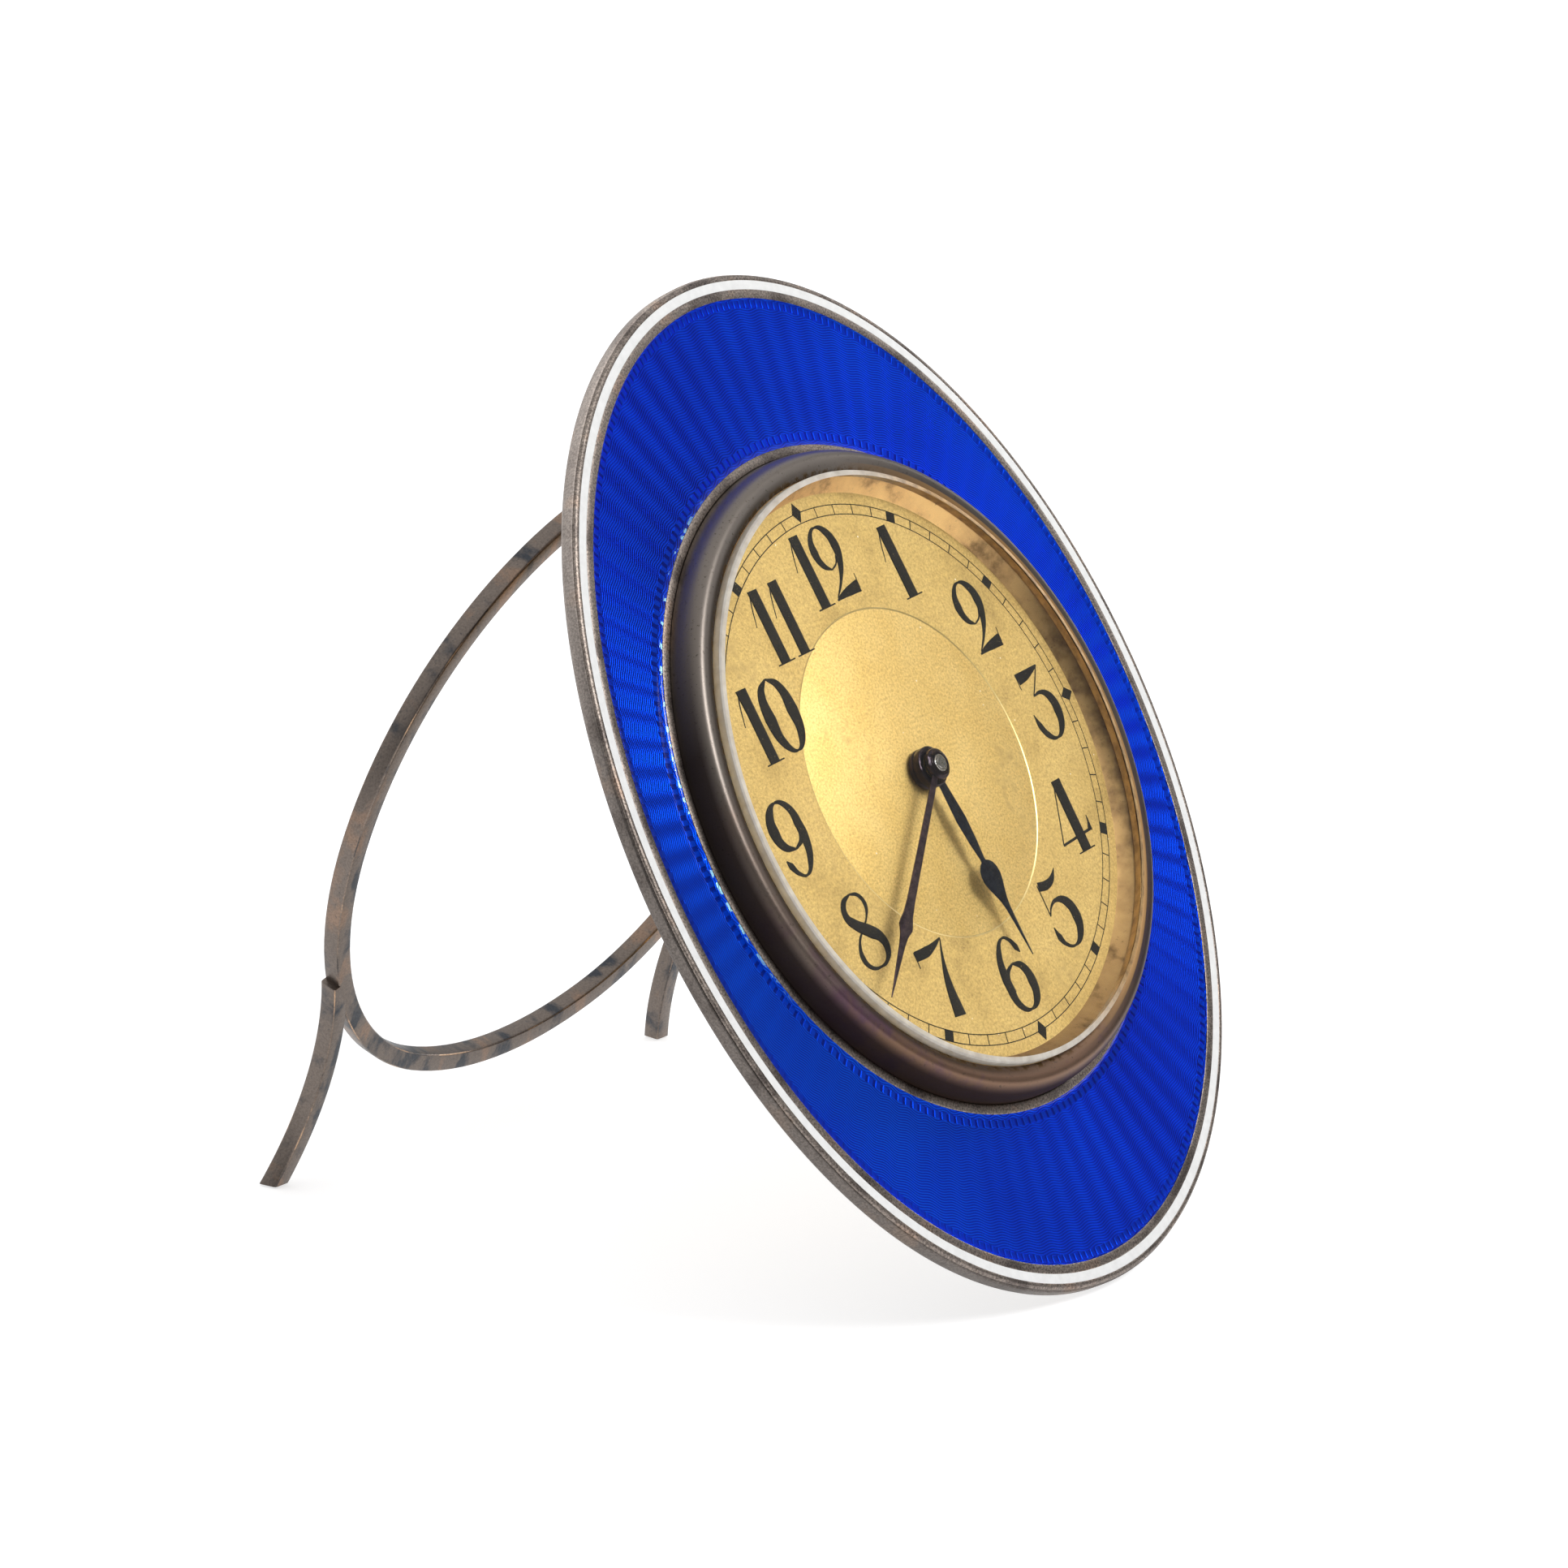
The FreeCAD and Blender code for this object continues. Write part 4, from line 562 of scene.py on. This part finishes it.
def ink_mark(width, length, diamond=False):
    # a flat square or diamond, pulled up by the thickness of the ink
    fresh()
    if diamond:
        bpy.ops.mesh.primitive_circle_add(vertices=4, radius=0.5, fill_type="NGON")
    else:
        bpy.ops.mesh.primitive_plane_add(size=1)
    mark = bpy.context.object
    open_up()
    bpy.ops.transform.resize(value=(width, length, 1))
    bpy.ops.mesh.extrude_region_move(TRANSFORM_OT_translate={"value": (0, 0, ink_thickness)})
    close_up()
    return mark


half_line, print_top = 0.05, print_height + ink_thickness
for track_radius in (27.1, 28.15):
    inner, outer = track_radius - half_line, track_radius + half_line
    prints.append(turned("track_ring", [
        (inner, print_height), (inner, print_top), (outer, print_top), (outer, print_height),
        (inner, print_height)]))
quarter = ink_mark(1.5, 2.1, True)
hour_square = ink_mark(1.24, 1.05)
minute_stroke = ink_mark(0.12, 1.05)
mark_radius, quarter_radius = 27.625, 28.2
for minute in range(60):
    mark = quarter if minute % 15 == 0 else hour_square if minute % 5 == 0 else minute_stroke
    out = quarter_radius if mark == quarter else mark_radius
    copy = bpy.data.objects.new("track_mark", mark.data.copy())
    copy.data.transform(Matrix.Rotation(dial_turn - math.radians(6 * minute), 4, "Z")
                        @ Matrix.Translation((0, out, print_height)))
    bpy.context.collection.objects.link(copy)
    prints.append(copy)
for mark in (quarter, hour_square, minute_stroke):
    bpy.data.objects.remove(mark)

# each figure is a list of pen strokes: x, y and half width, as shares of the figure's height
figures = {
    "1": [[(0.27, 0.0, 0.088), (0.27, 1.0, 0.088)],
          [(0.2, 0.97, 0.012), (0.13, 0.82, 0.012), (0.04, 0.55, 0.008)],
          [(0.10, 0.006, 0.010), (0.47, 0.006, 0.010)]],
    "2": [[(0.27, 0.405, 0.012), (0.14, 0.50, 0.045), (0.085, 0.70, 0.068),
           (0.16, 0.91, 0.035), (0.31, 0.985, 0.014), (0.48, 0.88, 0.055),
           (0.545, 0.68, 0.075), (0.50, 0.48, 0.055), (0.34, 0.24, 0.026),
           (0.12, 0.05, 0.010)],
          [(0.27, 0.405, 0.012), (0.40, 0.46, 0.014), (0.47, 0.55, 0.02)],
          [(0.09, 0.022, 0.012), (0.22, 0.05, 0.035), (0.40, 0.07, 0.058),
           (0.63, 0.085, 0.075)],
          [(0.63, 0.05, 0.012), (0.645, 0.25, 0.008)]],
    "3": [[(0.06, 0.92, 0.07), (0.25, 0.93, 0.062), (0.42, 0.955, 0.04), (0.58, 0.985, 0.014)],
          [(0.045, 0.78, 0.010), (0.05, 1.0, 0.012)],
          [(0.57, 0.985, 0.010), (0.44, 0.84, 0.012), (0.24, 0.635, 0.012)],
          [(0.24, 0.635, 0.012), (0.42, 0.64, 0.03), (0.57, 0.52, 0.068), (0.60, 0.33, 0.08),
           (0.52, 0.12, 0.05), (0.34, 0.018, 0.016), (0.17, 0.10, 0.045), (0.085, 0.25, 0.05),
           (0.05, 0.42, 0.008)]],
    "4": [[(0.46, 0.0, 0.092), (0.46, 1.0, 0.092)],
          [(0.40, 0.98, 0.012), (0.03, 0.205, 0.012)],
          [(0.02, 0.20, 0.018), (0.72, 0.225, 0.020)],
          [(0.71, 0.21, 0.045), (0.745, 0.32, 0.022), (0.76, 0.41, 0.008)],
          [(0.27, 0.006, 0.010), (0.66, 0.006, 0.010)]],
    "5": [[(0.08, 0.90, 0.055), (0.25, 0.875, 0.055), (0.42, 0.91, 0.04), (0.56, 1.02, 0.008)],
          [(0.065, 0.93, 0.012), (0.065, 0.49, 0.012)],
          [(0.065, 0.50, 0.012), (0.16, 0.60, 0.018), (0.32, 0.645, 0.03), (0.52, 0.54, 0.07),
           (0.58, 0.33, 0.085), (0.50, 0.12, 0.055), (0.30, 0.015, 0.016), (0.13, 0.08, 0.03),
           (0.055, 0.20, 0.05), (0.02, 0.35, 0.010)]],
    "6": [[(0.36, 0.64, 0.016), (0.19, 0.55, 0.035), (0.11, 0.32, 0.07), (0.18, 0.10, 0.045),
           (0.35, 0.015, 0.016), (0.54, 0.11, 0.06), (0.60, 0.33, 0.08), (0.53, 0.55, 0.055),
           (0.36, 0.64, 0.016)],
          [(0.12, 0.30, 0.07), (0.11, 0.52, 0.075), (0.19, 0.82, 0.05), (0.38, 0.985, 0.016),
           (0.50, 0.93, 0.03), (0.58, 0.80, 0.045), (0.62, 0.72, 0.012)]],
    "7": [[(0.055, 0.92, 0.06), (0.30, 0.91, 0.062), (0.50, 0.94, 0.035),
           (0.66, 0.985, 0.012)],
          [(0.045, 0.76, 0.008), (0.05, 0.98, 0.014)],
          [(0.66, 0.985, 0.010), (0.54, 0.74, 0.028), (0.44, 0.45, 0.06), (0.38, 0.0, 0.105)]],
    "8": [[(0.34, 0.99, 0.014), (0.16, 0.92, 0.04), (0.10, 0.76, 0.055), (0.20, 0.62, 0.068),
           (0.40, 0.47, 0.08), (0.56, 0.33, 0.07), (0.58, 0.18, 0.055), (0.48, 0.05, 0.03),
           (0.32, 0.012, 0.016), (0.14, 0.06, 0.03), (0.06, 0.22, 0.04), (0.13, 0.40, 0.022),
           (0.30, 0.53, 0.014), (0.46, 0.64, 0.016), (0.545, 0.79, 0.034), (0.49, 0.93, 0.03),
           (0.34, 0.99, 0.014)]],
    "9": [[(0.32, 0.36, 0.016), (0.14, 0.45, 0.055), (0.08, 0.67, 0.08), (0.15, 0.89, 0.055),
           (0.31, 0.985, 0.016), (0.49, 0.90, 0.045), (0.57, 0.68, 0.07), (0.50, 0.45, 0.035),
           (0.32, 0.36, 0.016)],
          [(0.565, 0.68, 0.07), (0.575, 0.48, 0.075), (0.49, 0.18, 0.05),
           (0.30, 0.015, 0.016), (0.18, 0.07, 0.03), (0.10, 0.20, 0.045), (0.06, 0.28, 0.012)]],
    "0": [[(0.34, 0.985, 0.014), (0.16, 0.85, 0.06), (0.10, 0.50, 0.10), (0.16, 0.15, 0.06),
           (0.34, 0.015, 0.014), (0.52, 0.15, 0.06), (0.58, 0.50, 0.10), (0.52, 0.85, 0.06),
           (0.34, 0.985, 0.014)]],
}
# hour, the middle of its figures in millimetres, and each figure's left edge as a share
hours = [("12", -2.2, 22.3, (-0.54, -0.09)), ("1", 9.6, 20.6, (-0.25,)),
         ("2", 18.5, 13.0, (-0.35,)), ("3", 23.4, 2.4, (-0.34,)), ("4", 20.2, -9.25, (-0.4,)),
         ("5", 12.9, -17.75, (-0.32,)), ("6", 2.0, -22.0, (-0.35,)), ("7", -9.5, -19.9, (-0.34,)),
         ("8", -17.75, -12.7, (-0.33,)), ("9", -22.9, -1.95, (-0.33,)),
         ("10", -18.9, 9.5, (-0.56, -0.11)), ("11", -12.15, 18.3, (-0.46, -0.02))]
figure_height, stem_share, stem_swell, figure_flatness = 7.8, 0.03, 1.14, 0.02


def pen_stroke(points, figure_place):
    # a rounded tube along the pen's way, thick where the stroke is fat
    curve = bpy.data.curves.new("figure_stroke", "CURVE")
    curve.dimensions = "3D"
    curve.bevel_depth = 1
    curve.bevel_resolution = 2
    curve.resolution_u = 8
    curve.use_fill_caps = True
    spline = curve.splines.new("BEZIER")
    spline.bezier_points.add(len(points) - 1)
    for point, (x, y, half) in zip(spline.bezier_points, points):
        point.co = figure_place @ Vector((x * figure_height, y * figure_height, 0))
        point.radius = half * figure_height * (stem_swell if half > stem_share else 1.0)
        point.handle_left_type = point.handle_right_type = "AUTO"
    stroke = bpy.data.objects.new("figure_stroke", curve)
    bpy.context.collection.objects.link(stroke)
    return stroke


strokes = []
for text, x, y, lefts in hours:
    for letter, left in zip(text, lefts):
        figure_place = (
            Matrix.Translation((x, y, 0)) @ Matrix.Rotation(dial_turn, 4, "Z")
            @ Matrix.Translation((left * figure_height, -figure_height / 2, 0)))
        strokes += [pen_stroke(stroke, figure_place) for stroke in figures[letter]]
fresh()
for stroke in strokes:
    stroke.select_set(True)
bpy.context.view_layer.objects.active = strokes[0]
bpy.ops.object.convert(target="MESH")
bpy.ops.object.join()
numerals = bpy.context.object
numerals.data.transform(Matrix.Translation((0, 0, print_height + 0.002))
                        @ Matrix.Scale(figure_flatness, 4, (0, 0, 1)))
for piece in prints:
    piece.select_set(True)
bpy.ops.object.join()
numerals.name = "dial_printing"
fitted(numerals, ink, "case")

# The hands: cut from thin steel and filed to a low ridge, then browned or blued over a flame.
# Each is pressed on its collet.
hand_steel, tree, shader = finish("browned_steel", Metallic=0.9, Roughness=0.3)
smoke = noise(tree, dial_space(tree), 1.4, 5, 0.65)
feed(tree, shader, "Base Color", ramp(tree, smoke, (0.3, (0.030, 0.018, 0.022)),
                                      (0.5, (0.055, 0.035, 0.045)), (0.7, (0.095, 0.06, 0.065))))
feed(tree, shader, "Roughness", graded(tree, smoke, 0.0, 1.0, 0.22, 0.45))
blued = mottled("blued_steel", 1.4, 5, 0.65, (0.3, (0.012, 0.015, 0.026)),
                (0.6, (0.03, 0.036, 0.055)), Metallic=0.9, Roughness=0.28)
black_steel = mottled("blackened_collet", 2.5, 5, 0.65, (0.35, (0.012, 0.010, 0.012)),
                      (0.65, (0.05, 0.035, 0.045)), Metallic=0.9, Roughness=0.16)


def filed_hand(name, clockwise, base, stations):
    # a six-sided section pulled out along the hand: reach, half width and ridge height
    fresh()
    bpy.ops.mesh.primitive_circle_add(vertices=6, radius=1, fill_type="NGON",
                                      rotation=(math.radians(90), 0, 0))
    hand = bpy.context.object
    hand.name = name
    bpy.ops.object.transform_apply(location=True, rotation=True, scale=True)
    open_up()
    reach, half, rise = stations[0]
    bpy.ops.transform.resize(value=(half, 1, rise))
    bpy.ops.transform.translate(value=(0, reach, 0))
    for next_reach, next_half, next_rise in stations[1:]:
        bpy.ops.mesh.extrude_region_move()
        bpy.ops.transform.resize(value=(next_half / half, 1, next_rise / rise))
        bpy.ops.transform.translate(value=(0, next_reach - reach, 0))
        reach, half, rise = next_reach, next_half, next_rise
    close_up()
    hand.data.transform(Matrix.Rotation(math.radians(-clockwise), 4, "Z")
                        @ Matrix.Translation((0, 0, base)))
    only(hand)
    bpy.ops.object.shade_smooth_by_angle(angle=math.radians(25))
    return hand


minute_hand = filed_hand("minute_hand_blade", 226.5, 3.0, [
    (1.5, 0.42, 0.1), (6, 0.46, 0.11), (12, 0.52, 0.12), (17, 0.6, 0.13), (18.7, 0.74, 0.13),
    (19.7, 1.0, 0.13), (20.2, 1.06, 0.13), (20.5, 0.9, 0.13), (21.2, 0.62, 0.12), (22.3, 0.44, 0.11),
    (24, 0.34, 0.1), (26, 0.22, 0.09), (28.6, 0.05, 0.06)])
fitted(minute_hand, hand_steel, "minute_work", "minute_hand")
minute_boss = turned("minute_boss", [
    (0.95, 2.75), (1.35, 2.75), (1.62, 2.82), (1.65, 3.0), (1.6, 3.2), (1.3, 3.3), (1.28, 3.42),
    (0.95, 3.45), (0.95, 2.75)], count=64)
eased(minute_boss, 0.02, 40)
fitted(minute_boss, black_steel, "minute_work", "minute_collet")
hour_hand = filed_hand("hour_hand_blade", 169.7, 2.35, [
    (1.6, 0.62, 0.09), (2.6, 0.66, 0.09), (6, 0.95, 0.1), (8.6, 0.7, 0.1), (10.4, 0.38, 0.1),
    (10.7, 0.44, 0.1), (10.9, 0.95, 0.1), (11.3, 1.42, 0.1), (11.9, 1.72, 0.1), (12.6, 1.76, 0.1),
    (13.3, 1.52, 0.1), (14.1, 1.08, 0.1), (15.0, 0.66, 0.09), (15.9, 0.42, 0.09), (17.5, 0.29, 0.08),
    (21.2, 0.06, 0.06)])
fitted(hour_hand, blued, "hour_work", "hour_hand")
hour_boss = turned("hour_boss", [
    (1.42, 1.05), (2.0, 1.05), (2.1, 1.15), (2.1, 1.5), (1.95, 1.56), (1.95, 1.66), (2.1, 1.72),
    (2.1, 2.1), (2.1, 2.4), (1.9, 2.5), (1.42, 2.5), (1.42, 1.05)], count=64)
eased(hour_boss, 0.02, 40)
fitted(hour_boss, black_steel, "hour_work", "hour_collet")

# The centre arbor: a turned steel rod, hardened and polished. Its dimpled tip stands in the
# minute hand's boss and turns with it.
steel = mottled("polished_steel", 2.0, 5, 0.6, (0.3, (0.60, 0.60, 0.61)), (0.7, (0.78, 0.78, 0.78)),
                Metallic=1.0, Roughness=0.14)
tip = turned("arbor_tip", [
    (0.02, 3.36), (0.3, 3.38), (0.42, 3.46), (0.8, 3.5), (0.84, 3.4), (0.84, 2.6), (0.02, 2.6)],
    closed=False, count=48)
eased(tip, 0.015, 40)
fitted(tip, steel, "minute_work")

# The strut: square silver wire bent to a tall round loop with two splayed feet soldered on, each
# filed flat on the table. It opens until the heel of its leaf stops against the back plate.
hinge_place, opening_angle = (0, 45.6, -3.9), math.radians(48.3)
opening = Matrix.Translation(hinge_place) @ Matrix.Rotation(opening_angle, 4, "X")
wire = toned_silver("strut_silver", (0.185, 0.155, 0.135), (0.06, 0.065, 0.075),
                    (0.26, 0.185, 0.14), 0.34, (1.6, 0.8, 0.8), pitting=0.3, step=0.06)
worn = toned_silver("worn_edges", (0.22, 0.175, 0.145), (0.10, 0.09, 0.085), (0.52, 0.35, 0.23),
                    0.3, pitting=0.4, step=0.04)


def wire_end(name, x, y, half=1.0):
    # the wire's square section, its corners rounded, standing where the bending starts
    fresh()
    bpy.ops.mesh.primitive_plane_add(size=2 * half, location=(x, y, 0),
                                     rotation=(math.radians(90), 0, 0))
    piece = bpy.context.object
    piece.name = name
    bpy.ops.object.transform_apply(location=True, rotation=True, scale=True)
    open_up()
    bpy.ops.mesh.bevel(offset=0.26, segments=3, affect="VERTICES")
    bpy.ops.mesh.select_all(action="SELECT")
    return piece


def bent(centre, degrees, steps):
    bpy.ops.mesh.spin(steps=steps, angle=math.radians(-degrees), center=(*centre, 0), axis=(0, 0, 1))


# half a circle at the top, a flank down each side and a flatter bow below, each round its centre
loop_half_width, widest_y, flank_x, bow_y = 36.6, -47.4, 4.144, -35.56
sweep = math.degrees(math.atan2(bow_y - widest_y, flank_x))
loop = wire_end("strut_wire_loop", loop_half_width, widest_y)
bpy.ops.mesh.delete(type="ONLY_FACE")
bpy.ops.mesh.select_all(action="SELECT")
bent((0, widest_y), 180, 72)
bent((-flank_x, widest_y), sweep, 28)
bent((0, bow_y), 180 - 2 * sweep, 16)
bent((flank_x, widest_y), sweep, 28)
bpy.ops.mesh.select_all(action="SELECT")
bpy.ops.mesh.remove_doubles(threshold=0.02)
close_up()
bpy.ops.object.shade_smooth_by_angle(angle=math.radians(30))
loop.data.transform(opening)
fitted(loop, wire, "strut", "strut_loop")


def worn_corners(piece):
    # the corners of the square wire are rubbed through the toning to a coppery metal
    piece.data.materials.append(worn)
    back = (stance @ opening).inverted().to_3x3()
    for polygon in piece.data.polygons:
        if 0.3 < abs((back @ polygon.normal).normalized().z) < 0.95:
            polygon.material_index = 1


worn_corners(loop)

# each foot curves round a hub outside the loop, from foot_rise degrees above the hub's level to
# foot_fall degrees below it, and its sole is cut flat just above the table, in metres
foot_x, hub_x, hub_y, foot_rise, foot_fall = 30.34, 61.64, -76.3, 23.34, 31.5
foot_sole = 0.00001
for side, node in ((-1, "left_strut_foot"), (1, "right_strut_foot")):
    foot = wire_end(node + "_bow", side * foot_x, hub_y, 0.985)
    hub = (side * hub_x, hub_y)
    bpy.ops.object.mode_set(mode="OBJECT")
    foot.data.transform(Matrix.Translation((*hub, 0))
                        @ Matrix.Rotation(math.radians(-side * foot_rise), 4, "Z")
                        @ Matrix.Translation((-hub[0], -hub[1], 0)))
    open_up()
    bent(hub, side * (foot_rise + foot_fall), 30)
    close_up()
    foot.data.transform(opening)
    fitted(foot, wire, "strut", node)
    only(foot)
    open_up()
    bpy.ops.mesh.bisect(plane_co=(0, 0, foot_sole), plane_no=(0, 0, 1), use_fill=True,
                        clear_inner=True, threshold=0.000001)
    bpy.ops.object.mode_set(mode="OBJECT")
    worn_corners(foot)
    eased(foot, 0.0002, 60, 3)


# The hinge: a silver leaf soldered to the loop turns between two ears on the back plate, on a
# riveted pin. The drum, its cap with three screws, the winding key and the setting knob are
# gilt brass and steel behind the plate. All of these are stamped or turned and lightly eased.
def dressed(node, material, body, width=0.08):
    # a finished copy of the piece's solid, with its edges eased
    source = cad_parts[node]
    piece = bpy.data.objects.new(node + "_finished", source.data.copy())
    bpy.context.collection.objects.link(piece)
    piece.data.transform(source.matrix_world)
    only(piece)
    open_up()
    bpy.ops.mesh.remove_doubles(threshold=0.000001)
    bpy.ops.mesh.dissolve_limited(angle_limit=math.radians(0.5))
    bpy.ops.object.mode_set(mode="OBJECT")
    eased(piece, width * millimetre, 35)
    piece.data.materials.clear()
    piece.data.materials.append(material)
    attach(piece, body)
    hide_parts(node)


brass, tree, shader = finish("lacquered_brass", Metallic=1.0, Roughness=0.3)
spot = dial_space(tree)
haze = noise(tree, spot, 0.5, 5, 0.6)
feed(tree, shader, "Base Color", ramp(tree, haze, (0.3, (0.57, 0.385, 0.15)),
                                      (0.7, (0.65, 0.455, 0.19))))
feed(tree, shader, "Roughness", graded(tree, noise(tree, spot, 8.0, 3, 0.6), 0.0, 1.0, 0.22, 0.42))
polished = mottled("polished_brass", 1.5, 5, 0.6, (0.3, (0.62, 0.40, 0.14)),
                   (0.7, (0.78, 0.55, 0.24)), Metallic=1.0, Roughness=0.16)
dressed("strut_leaf", wire, "strut")
dressed("strut_hinge_knuckles", silver, "case")
dressed("strut_hinge_pin", steel, "case")
dressed("case_drum", brass, "case")
dressed("back_cap", brass, "case")
dressed("case_screws", steel, "case", 0.05)
dressed("winding_key_boss", polished, "winding_arbor")
dressed("key_hinge_pin", steel, "winding_arbor", 0.04)
dressed("winding_key_wing", polished, "key_wing", 0.1)
dressed("setting_knob", polished, "setting_work", 0.04)

# The movement: brass plates and wheels, steel arbors, pinions and levers, blued springs and
# ruby pallet stones, all shut inside the drum. Brass is lacquered and steel polished.
ruby = mottled("ruby", 3.0, 4, 0.55, (0.3, (0.45, 0.02, 0.08)), (0.7, (0.6, 0.05, 0.15)),
               Roughness=0.05, Coat_Weight=0.5)
finishes = {"brass": brass, "steel": steel, "blue_steel": blued, "ruby": ruby,
            "tarnished_silver": silver, "dark_steel": hand_steel, "gilt_dial": gold,
            "dark_silver": dark, "white_enamel": white, "blue_enamel": blue,
            "clear_glass": clear, "aged_gilding": gilt_ring}
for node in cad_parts.values():
    for index, slot in enumerate(node.data.materials):
        name = slot.name.split(".")[0].split(":")[-1] if slot else ""
        if name in finishes:
            node.data.materials[index] = finishes[name]

# The table: a plain pale sheet. The camera, polished metal and glass see it as paper, and to all
# else it glows, so that it lights the clock softly from below. The backdrop is white, and two
# soft lamps stand in front and at the right.
paper, tree, shader = finish("pale_paper", Base_Color=(0.93, 0.93, 0.94), Roughness=0.9,
                             Specular_IOR_Level=0.1)
fresh()
bpy.ops.mesh.primitive_plane_add(size=6, location=(0, 0, -0.0002))
table = bpy.context.object
table.name = "table"
table.data.materials.append(paper)
path = put(tree, "LightPath").outputs
mirrored = sums(tree, "MAXIMUM", path["Is Glossy Ray"], path["Is Transmission Ray"])
seen = sums(tree, "MAXIMUM", path["Is Camera Ray"], mirrored)
glow = put(tree, "Emission", {"Color": (1.0, 1.0, 1.0), "Strength": 0.7})
shaded = put(tree, "BsdfDiffuse", {"Color": (0.55, 0.55, 0.56)})
lighting = put(tree, "AddShader", {0: shaded.outputs[0], 1: glow.outputs[0]})
chosen = put(tree, "MixShader", {0: seen, 1: shader.outputs[0], 2: lighting.outputs[0]})
feed(tree, tree.nodes["Material Output"], "Surface", chosen.outputs[0])
world = bpy.context.scene.world or bpy.data.worlds.new("studio")
bpy.context.scene.world = world
world.use_nodes = True
tree = world.node_tree
in_sight = put(tree, "LightPath").outputs["Is Camera Ray"]
backdrop = tree.nodes["Background"]
way = put(tree, "TexCoord").outputs["Generated"]
height = put(tree, "VectorMath", {0: way, 1: (0.0, 0.5, 0.87)},
             operation="DOT_PRODUCT").outputs["Value"]
sky = put(tree, "MapRange", {"Value": height, "From Min": 0.1, "From Max": 0.75, "To Min": 0.1,
                             "To Max": 0.95}, interpolation_type="SMOOTHSTEP").outputs[0]
feed(tree, backdrop, "Strength", sums(tree, "MAXIMUM", in_sight, sky))
backdrop.inputs["Color"].default_value = (1, 1, 1, 1)


def lamp(name, power, size, place, aim):
    light = bpy.data.lights.new(name, "AREA")
    light.energy = power
    light.shape = "DISK"
    light.size = size
    holder = bpy.data.objects.new(name, light)
    holder.location = place
    holder.rotation_euler = (Vector(aim) - Vector(place)).to_track_quat("-Z", "Y").to_euler()
    bpy.context.collection.objects.link(holder)


lamp("front_window", 6.2, 0.45, (0.2, -0.69, 0.77), (0, 0, 0.05))
lamp("right_panel", 1.1, 0.3, (0.97, -0.10, 0.32), (0, 0, 0.05))

# The camera stands where the photograph was taken: low, and to the clock's left. It is about
# 65 centimetres away and looks down a little.
sight = bpy.data.cameras.new("sight")
sight.lens = 149.477
sight.sensor_width = 36
sight.clip_start = 0.01
camera = bpy.data.objects.new("camera", sight)
camera.location = (-0.517866, -0.356533, 0.222028)
camera.rotation_euler = (math.radians(74.11738), math.radians(-2.46534), math.radians(-54.62668))
bpy.context.collection.objects.link(camera)
bpy.context.scene.camera = camera
